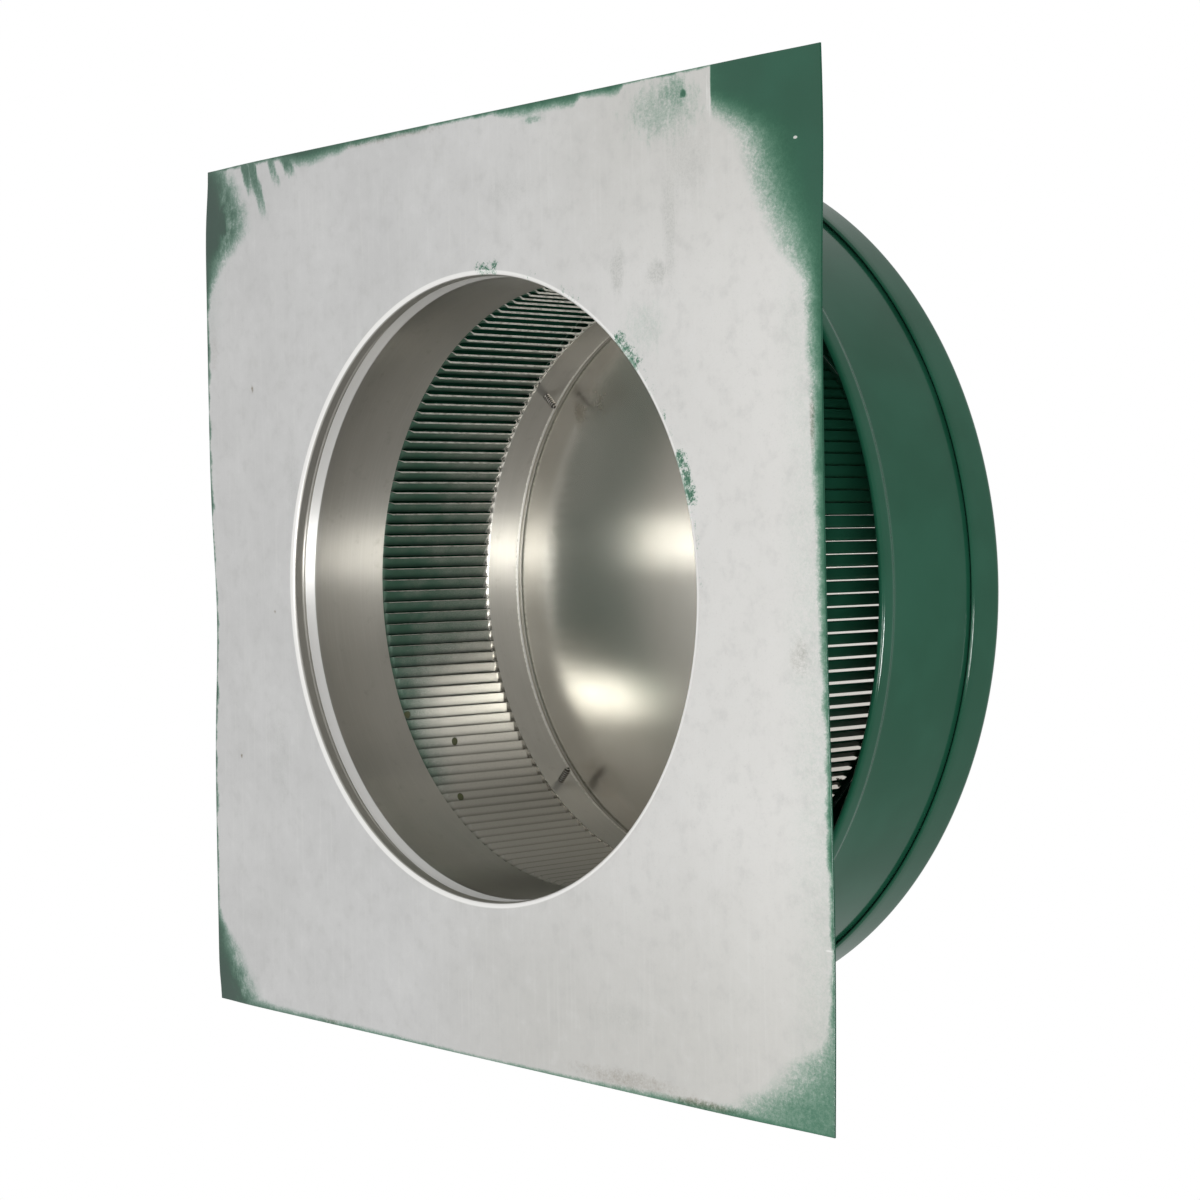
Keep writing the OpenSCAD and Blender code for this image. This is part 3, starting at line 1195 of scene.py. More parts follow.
@dataclass(frozen=True)
class PaintDrop:
    """A small dried drop on the slats.

    Attributes:
        angle: Its direction from the axis in degrees.
        z: Its height in millimetres.
        tall: Half its length along the slat in millimetres.
        wide: Half its width in millimetres.
    """

    angle: float
    z: float
    tall: float = 2.1
    wide: float = 1.9


@dataclass(frozen=True)
class SprayedSlats:
    """Inner faces of the slats: bare metal dusted with green, most of it towards the collar.

    Attributes:
        bottom: Height of the slats' lower ends in millimetres.
        top: Height of their upper ends.
        heavy_at: Direction from the axis, in degrees, in which the spray is heaviest.
        metal: Colour of the bare metal.
        worn: Colour of its scratched places.
        shadow: Colour of the bare metal in shadow.
        dim_tip: Colour of the twisted upper ends that face away from the light.
        bright_tip: Colour of those that face it.
        coat_shadow: Colour of the coat towards the edge that lies in shadow.
        olive: Colour of the drops.
        enamel: The coat.
        drops: The dried drops.
    """

    bottom: float
    top: float
    heavy_at: float = 38.0
    metal: Colour = (0.64, 0.625, 0.565)
    worn: Colour = (0.45, 0.44, 0.40)
    shadow: Colour = (0.10, 0.10, 0.085)
    dim_tip: Colour = (0.30, 0.29, 0.26)
    bright_tip: Colour = (0.93, 0.925, 0.90)
    coat_shadow: Colour = (0.004, 0.014, 0.010)
    olive: Colour = seen(70, 74, 46)
    enamel: GreenEnamel = GreenEnamel()
    drops: tuple[PaintDrop, ...] = (
        PaintDrop(-34.6, 86.4),
        PaintDrop(-48.5, 70.2),
        PaintDrop(-27.7, 61.4),
    )

    def dripped(self, ink: Ink) -> Field:
        """Where the drops are.

        Args:
            ink: The material.

        Returns:
            1 on a drop and 0 beside it.
        """
        total = ink.z * 0
        for drop in self.drops:
            way_round = (ink.angle() - drop.angle) * (math.radians(1) * WALL_R_MM)
            along, beside = (ink.z - drop.z) / drop.tall, way_round / drop.wide
            total = total.larger((along * along + beside * beside).rise(1.2, 0.75))
        return total

    def dress(self) -> bpy.types.Material:
        """The finish as a material.

        Returns:
            The material.
        """
        ink = Ink("sprayed_slats")
        up = (ink.z - self.bottom) / (self.top - self.bottom)
        grain = ink.noise(0.45, detail=2, rough=0.7)
        clouds = ink.noise(17, detail=3, shift=6) - 0.5
        across = ink.across()
        turned = (ink.angle() - self.heavy_at).math("WRAP", 180.0, -180.0).math("ABSOLUTE")
        heavy = turned.rise(70, 44)
        thick = heavy * (0.98 - up * 0.36) + (1 - heavy) * (0.82 - up * 2.1)
        thick = thick - ink.angle().rise(-36, -56) * 0.7
        density = (thick + clouds * 0.5 + (across - 0.5) * 0.16).rise(0.0, 1.0)
        tip = up.rise(0.952, 0.972)
        density = density * (1 - tip)
        speck = (grain - 0.5) * (density * (1 - density) * 4.4)
        spray = (density + speck).larger(0.0).smaller(1.0)
        scratched = ink.noise(1.1, detail=2, place=ink.around(0.2), shift=14)
        metal = ink.mix(scratched.rise(0.45, 0.75) * 0.4, self.metal, self.worn)
        # Painted shade: each slat darkens towards its shadowed edge, and the slats darken low in the
        # throat, in bare metal and coat alike.
        shaded = across.rise(0.4, 1.0) * 0.62 + across.rise(0.09, 0.02) * 0.3
        low = ink.angle().rise(-34, -52) * 0.42 + ink.angle().rise(-60, -88) * 0.2
        metal = ink.mix((shaded * 0.8 + low).smaller(1.0), metal, self.shadow)
        tip_metal = ink.mix(ink.angle().rise(-16, 2), self.dim_tip, self.bright_tip)
        metal = ink.mix(tip, metal, tip_metal)
        coat = ink.mix(shaded, self.enamel.colour(ink), self.coat_shadow)
        drops = self.dripped(ink)
        colour = ink.mix(spray * 0.95, metal, coat)
        return ink.finish(
            ink.bump(grain * 0.012 + scratched * 0.008 + drops * 0.25),
            Base_Color=ink.mix(drops, colour, self.olive),
            Metallic=(1 - spray * 0.82) * (1 - drops),
            Roughness=0.38 + spray * 0.06 - tip * 0.16,
            Specular_IOR_Level=0.4,
            Anisotropic=0.9,
            Anisotropic_Rotation=BRUSH_TURN,
        )


@dataclass(frozen=True)
class ShearedEdge:
    """Raw edges of the slats, bright and torn by the shears.

    Attributes:
        bright: Colour of a clean cut.
        torn: Colour where the metal tore.
    """

    bright: Colour = seen(232, 230, 221)
    torn: Colour = seen(176, 175, 166)

    def dress(self) -> bpy.types.Material:
        """The finish as a material.

        Returns:
            The material.
        """
        ink = Ink("sheared_edge")
        tears = ink.noise(1.4, detail=3, rough=0.65, stretch=(1.0, 1.0, 3.0))
        return ink.finish(
            ink.bump(tears * 0.05),
            Base_Color=ink.mix(tears.rise(0.42, 0.66), self.bright, self.torn),
            Metallic=0.3,
            Roughness=0.42 + tears * 0.16,
        )


@dataclass(frozen=True)
class SpunDome:
    """Inside of the dome: bare aluminium with the rings of spinning and stains near two screws.

    Attributes:
        bright: Colour of the clean metal.
        tired: Colour of its duller clouds.
        line: Colour of the spinning rings.
        stain_and_shade: Colour of the stains, and of the painted shade towards -y and +y.
        stains: Their places in millimetres.
    """

    bright: Colour = (0.73, 0.712, 0.665)
    tired: Colour = (0.62, 0.605, 0.555)
    line: Colour = (0.74, 0.73, 0.70)
    stain_and_shade: Colour = (0.27, 0.22, 0.15)
    stains: tuple[Scuff, ...] = (
        Scuff(99, 93, 5, 8, 0.5),
        Scuff(86, 99, 9, 10, 0.24),
        Scuff(72, 103, 15, 11, 0.2),
        Scuff(92, -104, 9, 6, 0.25),
        Scuff(80, -112, 12, 9, 0.2),
        Scuff(30, 120, 20, 9, 0.12),
    )

    def dress(self) -> bpy.types.Material:
        """The finish as a material.

        Returns:
            The material.
        """
        ink = Ink("spun_dome")
        rings = ink.noise(1.5, detail=2, rough=0.6, place=ink.around(120))
        broad = ink.noise(9, detail=2, place=ink.around(60), shift=5)
        clouds = ink.noise(30, detail=3, shift=4)
        torn = ink.noise(5, detail=4, rough=0.7, shift=7) - 0.5
        soiled = torn * 0
        for s in self.stains:
            u, v = (ink.x - s.x) / s.wide, (ink.y - s.y) / s.high
            oval = (u * u + v * v).math("SQRT") + torn * 1.8
            soiled = soiled + oval.rise(1.4, 0.1) * s.strength
        metal = ink.mix(clouds.rise(0.35, 0.7) * 0.5, self.bright, self.tired)
        metal = ink.mix(rings.rise(0.45, 0.8) * 0.18, metal, self.line)
        # Painted shade: the metal is darkened towards -y, and a little towards +y too.
        metal = ink.mix(ink.y.rise(-30, -130) * 0.3, metal, self.stain_and_shade)
        metal = ink.mix(ink.y.rise(10, 90) * 0.14, metal, self.stain_and_shade)
        metal = ink.mix(soiled, metal, self.stain_and_shade)
        return ink.finish(
            ink.bump(rings * 0.004 + broad * 0.012),
            Base_Color=metal,
            Metallic=1.0,
            Roughness=0.22 + clouds * 0.04 + soiled * 0.1,
            Anisotropic=0.3,
            Anisotropic_Rotation=BRUSH_TURN,
        )


@dataclass(frozen=True)
class ScrewSteel:
    """Zinc plated steel, painted dark between the thread's crests as their shade.

    Attributes:
        colour: Colour of the clean plating.
        dark: Colour of its darker clouds.
        grime: Colour of the painted shade between the crests.
    """

    colour: Colour = (0.62, 0.60, 0.55)
    dark: Colour = (0.30, 0.285, 0.26)
    grime: Colour = (0.035, 0.03, 0.024)

    def dress(self) -> bpy.types.Material:
        """The finish as a material.

        Returns:
            The material.
        """
        ink = Ink("screw_steel")
        clouds = ink.noise(1.6, detail=3)
        fine = ink.noise(0.25, detail=2, shift=3)
        # Painted shade in the thread's valleys.
        valley = ink.across().rise(0.75, 0.25)
        return ink.finish(
            ink.bump(fine * 0.006),
            Base_Color=ink.mix(valley, ink.mix(clouds, self.colour, self.dark), self.grime),
            Metallic=1.0,
            Roughness=0.3 + clouds * 0.2,
        )


@dataclass(frozen=True)
class PaleFloor:
    """Pale studio floor, which shows from above only.

    Attributes:
        colour: Its colour.
        light: Colour of its lighter clouds.
    """

    colour: Colour = (0.84, 0.84, 0.83)
    light: Colour = (0.88, 0.88, 0.87)

    def dress(self) -> bpy.types.Material:
        """The finish as a material.

        Returns:
            The material.
        """
        ink = Ink("pale_floor")
        clouds = ink.noise(180, detail=3)
        shader = ink.tree.nodes.new("ShaderNodeBsdfDiffuse")
        ink.feed(shader.inputs["Color"], ink.mix(clouds.rise(0.3, 0.7), self.colour, self.light))
        clear = ink.tree.nodes.new("ShaderNodeBsdfTransparent")
        facing = ink.tree.nodes.new("ShaderNodeNewGeometry")
        choice = ink.tree.nodes.new("ShaderNodeMixShader")
        ink.tree.links.new(facing.outputs["Backfacing"], choice.inputs[0])
        ink.tree.links.new(shader.outputs[0], choice.inputs[1])
        ink.tree.links.new(clear.outputs[0], choice.inputs[2])
        output = ink.tree.nodes.new("ShaderNodeOutputMaterial")
        ink.tree.links.new(choice.outputs[0], output.inputs["Surface"])
        return ink.material


# Sub-assemblies


def settle(piece: bpy.types.Object, slot: Slot, *nodes: str) -> None:
    """Makes a finished piece ride on the vent's body, names its slot and hides the solids it stands for.

    Args:
        piece: The object.
        slot: Its material slot.
        nodes: The solids that it replaces.
    """
    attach(piece, BODY)
    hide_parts(*nodes)
    faces = len(piece.data.polygons)
    LOG.info("%s: %d faces, slot %s, for %s", piece.name, faces, slot.value, ", ".join(nodes))


@dataclass(frozen=True)
class Curl:
    """A gentle lift of the flange's rim, where the thin sheet has curled.

    Attributes:
        x: Place along x.
        y: Place along y.
        wide: Its spread along x.
        high: Its spread along y.
        lift: Its height.
    """

    x: float
    y: float
    wide: float
    high: float
    lift: float


@dataclass
class RoofFlange:
    """Square plate whose hole edge is drawn up into a neck.

    Attributes:
        half: Half the plate's side.
        sheet: Thickness of the sheet.
        neck_r: Inner radius of the neck.
        bend: Bend radius into the neck, on the throat's side.
        neck_h: Height of the neck's edge, which lies in the bell's lower groove.
        segments: Number of steps around, a multiple of 8, so that the corners are hit.
    """

    half: float
    neck_h: float
    neck_r: float = 151.5 * MM
    sheet: float = SHEET
    bend: float = 2.5 * MM
    segments: int = 400

    def curls(self) -> tuple[Curl, ...]:
        """The places where the rim has curled up.

        Returns:
            The curls, near corners and edges.
        """
        h = self.half
        return (
            Curl(h, h, 30 * MM, 24 * MM, 2.3 * MM),
            Curl(-h, 0.86 * h, 30 * MM, 52 * MM, 2.0 * MM),
            Curl(-h, -0.66 * h, 42 * MM, 115 * MM, 3.4 * MM),
            Curl(h, -0.08 * h, 34 * MM, 52 * MM, 2.8 * MM),
            Curl(h, -h, 20 * MM, 12 * MM, 1.3 * MM),
        )

    def plate(self, share: np.ndarray, inset: np.ndarray) -> np.ndarray:
        """Rows of points between the neck's circle and the square rim.

        Formula: (1 - s) * circle + s * square, where the square is the direction over the larger of
        its two parts.

        Args:
            share: For each row, 0 on the circle and 1 on the rim.
            inset: For each row, how far the rim is pulled in.

        Returns:
            An array of rows, directions and the two coordinates.
        """
        a = full_turn(self.segments)
        way = np.stack([np.cos(a), np.sin(a)], axis=-1)
        square = way / np.abs(way).max(axis=-1, keepdims=True)
        s = share[:, None, None]
        return (1 - s) * (self.neck_r + self.bend) * way + s * (self.half - inset[:, None, None]) * square

    def lift(self, points: np.ndarray) -> np.ndarray:
        """Height that the curls add at some points of the plate.

        Formula: the sum of lift * exp(-((x - cx) / wide)^2 - ((y - cy) / high)^2).

        Args:
            points: Places along x and y.

        Returns:
            The added height.
        """
        x, y = points[..., 0], points[..., 1]
        far = ((c.lift, (x - c.x) / c.wide, (y - c.y) / c.high) for c in self.curls())
        return sum(lift * np.exp(-u ** 2 - v ** 2) for lift, u, v in far)

    def shape(self) -> Shape:
        """The plate and its neck as one closed sheet.

        The section runs down the neck's throat side, out along the underside, round the cut edge,
        back along the top and up the neck's outer side.

        Returns:
            The sheet, facing outwards.
        """
        inner = joined(
            straight((self.neck_r, self.neck_h - EASE), (self.neck_r, self.bend), 3),
            arc(self.neck_r + self.bend, self.bend, self.bend, 180, 270, 10),
        )
        outer_r = self.neck_r + self.sheet
        outer = joined(
            arc(self.neck_r + self.bend, self.bend, self.bend - self.sheet, 270, 180, 10),
            straight((outer_r, self.bend), (outer_r, self.neck_h - EASE), 3),
        )
        crown = np.array([[self.neck_r + self.sheet / 2, self.neck_h]])
        # Rows across the plate, a little closer together towards the rim
        share = np.linspace(0, 1, 27)[1:] ** 0.9
        shares = np.concatenate([share, [1, 1], share[::-1]])
        insets = np.zeros(len(shares))
        insets[len(share) - 1] = insets[len(share) + 2] = EASE
        heights = np.concatenate([0 * share, [EASE, self.sheet - EASE], 0 * share + self.sheet])
        flat = self.plate(shares, insets)
        ease = smooth_step(shares)[:, None]
        plate = np.concatenate([flat, (heights[:, None] + ease * self.lift(flat))[..., None]], axis=-1)
        a = full_turn(self.segments)
        wall, back, edge = (ring_points(path[:, :1], path[:, 1:], a) for path in (inner, outer, crown))
        rows = np.concatenate([wall, plate, back, edge])
        faces = grid_quads(len(rows), self.segments, close_rows=True)
        under = len(inner) + len(share) - 1
        row = np.repeat(np.arange(len(rows)), self.segments)
        sides = np.where(row < under, Side.BARE.value, Side.COATED.value)
        return Shape(rows.reshape(-1, 3), faces, sides).facing_out()

    def make(self) -> None:
        """Builds and dresses the flange."""
        under = FlangeUnderside(half=self.half / MM, throat=self.neck_r / MM).dress()
        piece = self.shape().build("roof_flange", [under, GreenEnamel().dress("flange_top_enamel")])
        settle(piece, Slot.FLANGE, "base_flange")


@dataclass
class LouverDrum:
    """Bell, collar, twisted slats and top band, all one sheet.

    Attributes:
        bell_z: Height of the bell's lower edge.
        top_z: Height of the drum's upper edge.
        bell_r: Inner radius of the bell.
        collar_r: Inner radius of the collar.
        sheet: Thickness of the sheet.
        shoulder_z: Height at which the shoulder begins.
        shoulder_h: Height of its shoulder.
        swage: Depth of the grooves where the bell is crimped on the neck.
        crimp_h: How far below the shoulder the first groove begins.
        slat_z: Height of the slats' lower ends.
        slat_len: Their length.
        slats: Their number.
        slit: Width of the cut between two of them.
        tilt: Angle by which they are twisted, in degrees.
        twist: Length over which each end twists.
        strips: Number of strips across one slat.
    """

    bell_z: float
    top_z: float
    bell_r: float
    collar_r: float = 151.4 * MM
    sheet: float = SHEET
    shoulder_z: float = 10.0 * MM
    shoulder_h: float = 4.3 * MM
    swage: float = 1.15 * MM
    crimp_h: float = 4.1 * MM
    slat_z: float = 59.3 * MM
    slat_len: float = 75.4 * MM
    slats: int = 156
    slit: float = 0.3 * MM
    tilt: float = 30.0
    twist: float = 3.6 * MM
    strips: int = 3

    def stations(self) -> np.ndarray:
        """Places across one slat, from -1 at its first edge to 1 at its last."""
        return np.linspace(-1, 1, self.strips + 1)

    def directions(self) -> np.ndarray:
        """Angles of all the slats' stations round the drum.

        Returns:
            The angles in radians, slat by slat.
        """
        pitch = 2 * np.pi / self.slats
        middle = self.collar_r + self.sheet / 2
        half = (pitch - self.slit / middle) / 2
        return (np.arange(self.slats)[:, None] * pitch + self.stations() * half).ravel()

    def band(self, face: np.ndarray, back: np.ndarray, open_at_end: bool) -> Shape:
        """A plain band whose columns meet the slats' stations.

        Args:
            face: Radius and height along its throat side.
            back: The same along its outer side, as many points.
            open_at_end: Whether the last points, and not the first, join the slats.

        Returns:
            The band as a strip of rows from the slats round its free edge and back, without end faces.
        """
        if open_at_end:
            face, back = face[::-1], back[::-1]
        rim = (face[-1] + back[-1]) / 2
        lift = np.sign(face[-1, 1] - face[-2, 1]) * EASE
        near, far = face[-1:] - (0, lift), back[-1:] - (0, lift)
        path = np.concatenate([face[:-1], near, [rim], far, back[:-1][::-1]])
        a = self.directions()
        points = ring_points(path[:, :1], path[:, 1:], a)
        faces = grid_quads(len(path), len(a), close_rows=False)
        row = np.repeat(np.arange(len(path) - 1), len(a))
        sides = np.where(row < len(face), Side.BARE.value, Side.COATED.value)
        if open_at_end:
            faces = faces[:, ::-1]
        else:
            sides = np.where((row == len(face) - 2) | (row == len(face) - 1), Side.SHEARED.value, sides)
        return Shape(points.reshape(-1, 3), faces, sides)

    def slit_ends(self, band: Shape, rows: int, turned: bool) -> np.ndarray:
        """The short faces that close a band's sheet at the end of each slit.

        Args:
            band: The band, whose first row is its throat side's and whose last row is its outer side's.
            rows: Number of its rows.
            turned: Whether the faces are turned round.

        Returns:
            Quads on the band's own points.
        """
        columns = len(band.points) // rows
        last = np.arange(self.slats) * (self.strips + 1) + self.strips
        beside = (last + 1) % columns
        back = (rows - 1) * columns
        quads = np.stack([last, beside, back + beside, back + last], axis=1)
        return quads if turned else quads[:, ::-1]

    def heights(self) -> np.ndarray:
        """Heights of the rows along a slat, close together where it twists.

        Returns:
            The heights, from the lower end up.
        """
        ends = np.array([0, 0.12, 0.28, 0.44, 0.6, 0.76, 0.9, 1.0]) * self.twist
        return self.slat_z + np.concatenate([ends, [self.slat_len / 2], self.slat_len - ends[::-1]])

    def slat_rows(self) -> Shape:
        """All the slats between the bands.

        Formula: a point at depth d and place s across a slat is turned about the slat's middle line
        by tilt * ease(height), where ease rises from 0 to 1 over the twist at each end.

        Returns:
            The slats as open tubes, whose ends lie on the bands' own points.
        """
        z = self.heights()
        up = smooth_step((z - self.slat_z) / self.twist)
        down = smooth_step((self.slat_z + self.slat_len - z) / self.twist)
        turn = np.radians(self.tilt) * up * down
        middle = self.collar_r + self.sheet / 2
        width = 2 * np.pi * middle / self.slats - self.slit
        s = self.stations()
        depth = np.concatenate([np.full(len(s), -0.5), np.full(len(s), 0.5)]) * self.sheet
        place = np.concatenate([s, s[::-1]]) * width / 2
        depth = depth - place ** 2 / (2 * middle)
        radial = depth * np.cos(turn)[:, None] - place * np.sin(turn)[:, None] + middle
        tangent = depth * np.sin(turn)[:, None] + place * np.cos(turn)[:, None]
        a = (np.arange(self.slats) * 2 * np.pi / self.slats)[:, None, None]
        x, y = radial * np.cos(a) - tangent * np.sin(a), radial * np.sin(a) + tangent * np.cos(a)
        points = np.stack([x, y, np.broadcast_to(z[:, None], x.shape)], axis=-1)
        one = grid_quads(len(z), len(place), close_rows=False)
        starts = np.arange(self.slats)[:, None, None] * len(z) * len(place)
        faces = (one + starts).reshape(-1, 4)
        column = np.tile(np.arange(len(place)), len(z) - 1)
        kinds = np.full(len(place), Side.COATED.value)
        kinds[: self.strips] = Side.SPRAYED.value
        kinds[self.strips] = Side.SHEARED.value
        across = 0.5 - np.concatenate([s, s[::-1]]) / 2
        values = np.tile(across, self.slats * len(z))
        return Shape(points.reshape(-1, 3), faces[:, ::-1], np.tile(kinds[column], self.slats), values)

    def shape(self) -> Shape:
        """The whole drum as one closed sheet, its bands and slats welded where they meet.

        Returns:
            The sheet.
        """
        shoulder = self.shoulder_z + self.shoulder_h
        bend = 0.35 * MM
        rim_step = 0.7 * MM

        def lower(depth: float) -> np.ndarray:
            """Bell, its two crimped grooves, shoulder and collar.

            Each stop is a height and how far the wall stands out there, as a share of the swage.

            Args:
                depth: Depth into the sheet.

            Returns:
                Points from the bell's edge up.
            """
            wide, narrow = self.bell_r + depth, self.collar_r + depth
            foot = self.shoulder_z - self.crimp_h
            stops = ((foot, 0.0), (foot + 1.1 * MM, 0.42), (foot + 2.5 * MM, 0.06), (foot + 3.9 * MM, 1.0))
            parts = [straight((wide, self.bell_z), (wide, foot), 3)]
            t = np.linspace(0, 1, 6)[:, None]
            for (z0, out0), (z1, out1) in zip(stops[:-1], stops[1:]):
                r0, r1 = wide + out0 * self.swage, wide + out1 * self.swage
                parts.append(np.concatenate([r0 + (r1 - r0) * smooth_step(t), z0 + (z1 - z0) * t], axis=1))
            crest = (wide + self.swage, stops[-1][0])
            slope = (crest[0] - narrow) / (shoulder - crest[1])
            parts.append(straight(crest, (narrow + slope * bend, shoulder - bend), 8))
            parts.append(straight((narrow, shoulder + bend), (narrow, self.slat_z), 10))
            return joined(*parts)

        def upper(depth: float) -> np.ndarray:
            """Top band.

            Args:
                depth: Depth into the sheet.

            Returns:
                Points from the slats up.
            """
            r = self.collar_r + depth
            wall = straight((r, self.slat_z + self.slat_len), (r, self.top_z - rim_step), 5)
            return joined(wall, np.array([r, self.top_z]))

        bottom = self.band(lower(0), lower(self.sheet), open_at_end=True)
        top = self.band(upper(0), upper(self.sheet), open_at_end=False)
        columns = self.slats * (self.strips + 1)
        parts = []
        for band, turned in ((bottom, True), (top, False)):
            rows = len(band.points) // columns
            ends = self.slit_ends(band, rows, turned)
            sides = np.concatenate([band.sides, np.full(len(ends), Side.COATED.value)])
            parts.append(Shape(band.points, np.concatenate([band.faces, ends]), sides))
        return welded(merged([*parts, self.slat_rows()]))

    def make(self) -> None:
        """Builds and dresses the drum."""
        slats = SprayedSlats(self.slat_z / MM, (self.slat_z + self.slat_len) / MM).dress()
        coat = GreenEnamel(gloss=0.3).dress("drum_enamel")
        finishes = [RolledSheet().dress(), coat, slats, ShearedEdge().dress()]
        piece = self.shape().build("louver_drum_sheet", finishes, crease=38)
        settle(piece, Slot.DRUM, "louver_drum")


@dataclass
class Cap:
    """Mounting ring, dome and wind band.

    Attributes:
        drum_z: Height of the drum's upper edge.
        apex_z: Height of the dome's top.
        rim_r: Outer radius of the dome's rim.
        rim_z: Height of the rim's lower edge.
        band_z: Height of the wind band's lower edge.
        bead_r: Outer radius of the band's rolled edge.
        ring_z: Height of the ring's lower edge.
        flare_r: Outer radius of the ring's flare.
        ring_r: Inner radius of the ring.
        crown: Radius of the nearly flat crown's sphere.
        shoulder: Radius of the rounded shoulder between crown and rim.
        sheet: Thickness of the sheets.
        rim_bend: Outer radius of the bend between the dome's shoulder and its rim.
        fold: Outer radius of the fold at the rim's lower edge.
        hem: Length of the hem that is turned up inside the rim.
        band_gap: Gap between the hem and the wind band.
        seat_gap: Gap between the ring's flare and the dome.
        ring_bend: Bend radius between the ring's wall and its flare.
        joggle: How far the ring steps inwards over the drum's edge, which shows as a bright line.
        roll: Outer radius of the wind band's rolled edge.
        flare_h: Height of the wind band's flare.
        bead_wall: Height of the straight wall between the flare and the roll.
        leg: Length of the leg that is turned up inside the roll.
        segments: Number of steps around.
    """

    drum_z: float
    apex_z: float
    rim_r: float
    rim_z: float
    band_z: float
    bead_r: float
    ring_z: float
    flare_r: float
    ring_r: float = 152.5 * MM
    crown: float = 2000 * MM
    shoulder: float = 103.5 * MM
    sheet: float = SHEET
    rim_bend: float = 4.0 * MM
    fold: float = 1.1 * MM
    hem: float = 8.0 * MM
    band_gap: float = 0.1 * MM
    seat_gap: float = 0.05 * MM
    ring_bend: float = 1.15 * MM
    joggle: float = 0.5 * MM
    roll: float = 1.7 * MM
    flare_h: float = 6.2 * MM
    bead_wall: float = 4.2 * MM
    leg: float = 3.0 * MM
    segments: int = 360

    def centre_z(self) -> float:
        """Height of the crown's centre, far below."""
        return self.apex_z - self.crown

    def shoulder_place(self) -> tuple[float, float, float]:
        """Where the dome's rounded shoulder is.

        Returns:
            Radius and height of its centre, and the angle in degrees at which the crown passes into it.
        """
        end = math.acos(self.ring_r / (self.crown - self.sheet))
        reach = self.crown - self.shoulder
        return reach * math.cos(end), self.centre_z() + reach * math.sin(end), math.degrees(end)

    def bend_place(self) -> tuple[float, float, float]:
        """Where the bend between the dome's shoulder and its rim is.

        Returns:
            Radius and height of its centre, and the angle in degrees at which the shoulder meets it.
        """
        x, z, _ = self.shoulder_place()
        r = self.rim_r - self.rim_bend
        rise = math.sqrt((self.shoulder - self.rim_bend) ** 2 - (r - x) ** 2)
        return r, z + rise, math.degrees(math.atan2(rise, r - x))

    def dome_face(self, depth: float) -> np.ndarray:
        """Weather side of the dome.

        Args:
            depth: Depth into the sheet.

        Returns:
            Points from the pole out, round the fold and up the hem.
        """
        x, height, end = self.shoulder_place()
        r, z, angle = self.bend_place()
        inner = self.rim_r - 2 * self.fold + depth
        return joined(
            arc(0, self.centre_z(), self.crown - depth, 90, end, 24),
            arc(x, height, self.shoulder - depth, end, angle, 28),
            arc(r, z, self.rim_bend - depth, angle, 0, 10),
            straight((self.rim_r - depth, z), (self.rim_r - depth, self.rim_z + self.fold), 4),
            arc(self.rim_r - self.fold, self.rim_z + self.fold, self.fold - depth, 0, -180, 10),
            straight((inner, self.rim_z + self.fold), (inner, self.rim_z + self.fold + self.hem), 3),
        )

    def dome(self) -> bpy.types.Object:
        """Builds the dome.

        Returns:
            The piece, bare inside as far out as the ring's flare and coated elsewhere.
        """
        face, back = self.dome_face(0), self.dome_face(self.sheet)
        bare = int((back[:, 0] < self.flare_r).sum())
        path = np.concatenate([face, back[::-1]])
        path[0, 0] = path[-1, 0] = 0
        shape = spin_from_axis(path, self.segments, len(path) - bare - 1)
        seam = ((self.rim_r - self.fold) / MM, self.rim_z / MM)
        return shape.build("spun_dome", [SpunDome().dress(), GreenEnamel(seam=seam).dress("dome_enamel")])

    def band_face(self, depth: float) -> np.ndarray:
        """Outer side of the wind band.

        Args:
            depth: Depth into the sheet.

        Returns:
            Points from its top down, out along the flare and round the roll.
        """
        wall = self.rim_r - 2 * self.fold - self.band_gap
        top = self.bend_place()[1]
        low = self.band_z + self.roll + self.bead_wall
        bead = self.bead_r
        angle = 2 * math.degrees(math.atan((bead - wall) / self.flare_h))
        radius = self.flare_h / (2 * math.sin(math.radians(angle)))
        inner = bead - 2 * self.roll + depth
        return joined(
            straight((wall - depth, top), (wall - depth, low + self.flare_h), 6),
            arc(wall + radius, low + self.flare_h, radius + depth, 180, 180 + angle, 8),
            arc(bead - radius, low, radius - depth, angle, 0, 8),
            straight((bead - depth, low), (bead - depth, self.band_z + self.roll), 3),
            arc(bead - self.roll, self.band_z + self.roll, self.roll - depth, 0, -180, 10),
            straight((inner, self.band_z + self.roll), (inner, self.band_z + self.roll + self.leg), 2),
        )

    def wind_band(self) -> bpy.types.Object:
        """Builds the wind band."""
        outline = cut_edge(self.band_face(0), self.band_face(self.sheet))
        return spin(outline, self.segments).build("wind_band_sheet", [GreenEnamel().dress("band_enamel")])

    def ring_face(self, depth: float) -> np.ndarray:
        """Inner side of the mounting ring: wall, inward step and flare.

        Args:
            depth: Depth into the sheet.

        Returns:
            Points from its lower edge up.
        """
        x, height, _ = self.shoulder_place()
        radius = self.shoulder - self.sheet - self.seat_gap
        narrow = self.ring_r - self.joggle
        r = narrow + self.ring_bend
        rise = math.sqrt((radius - self.ring_bend) ** 2 - (r - x) ** 2)
        angle = math.degrees(math.atan2(rise, r - x))
        end = math.degrees(math.acos((self.flare_r - x) / radius))
        low, high = self.drum_z + 0.2 * MM, height + rise
        t = np.linspace(0, 1, 9)[:, None]
        wall = self.ring_r - self.joggle * smooth_step(t) + depth
        step = np.concatenate([wall, low + (high - low) * t], axis=1)
        return joined(
            straight((self.ring_r + depth, self.ring_z), (self.ring_r + depth, low), 4),
            step,
            arc(r, high, self.ring_bend - depth, 180, angle, 8),
            arc(x, height, radius - depth, angle, end, 6),
        )

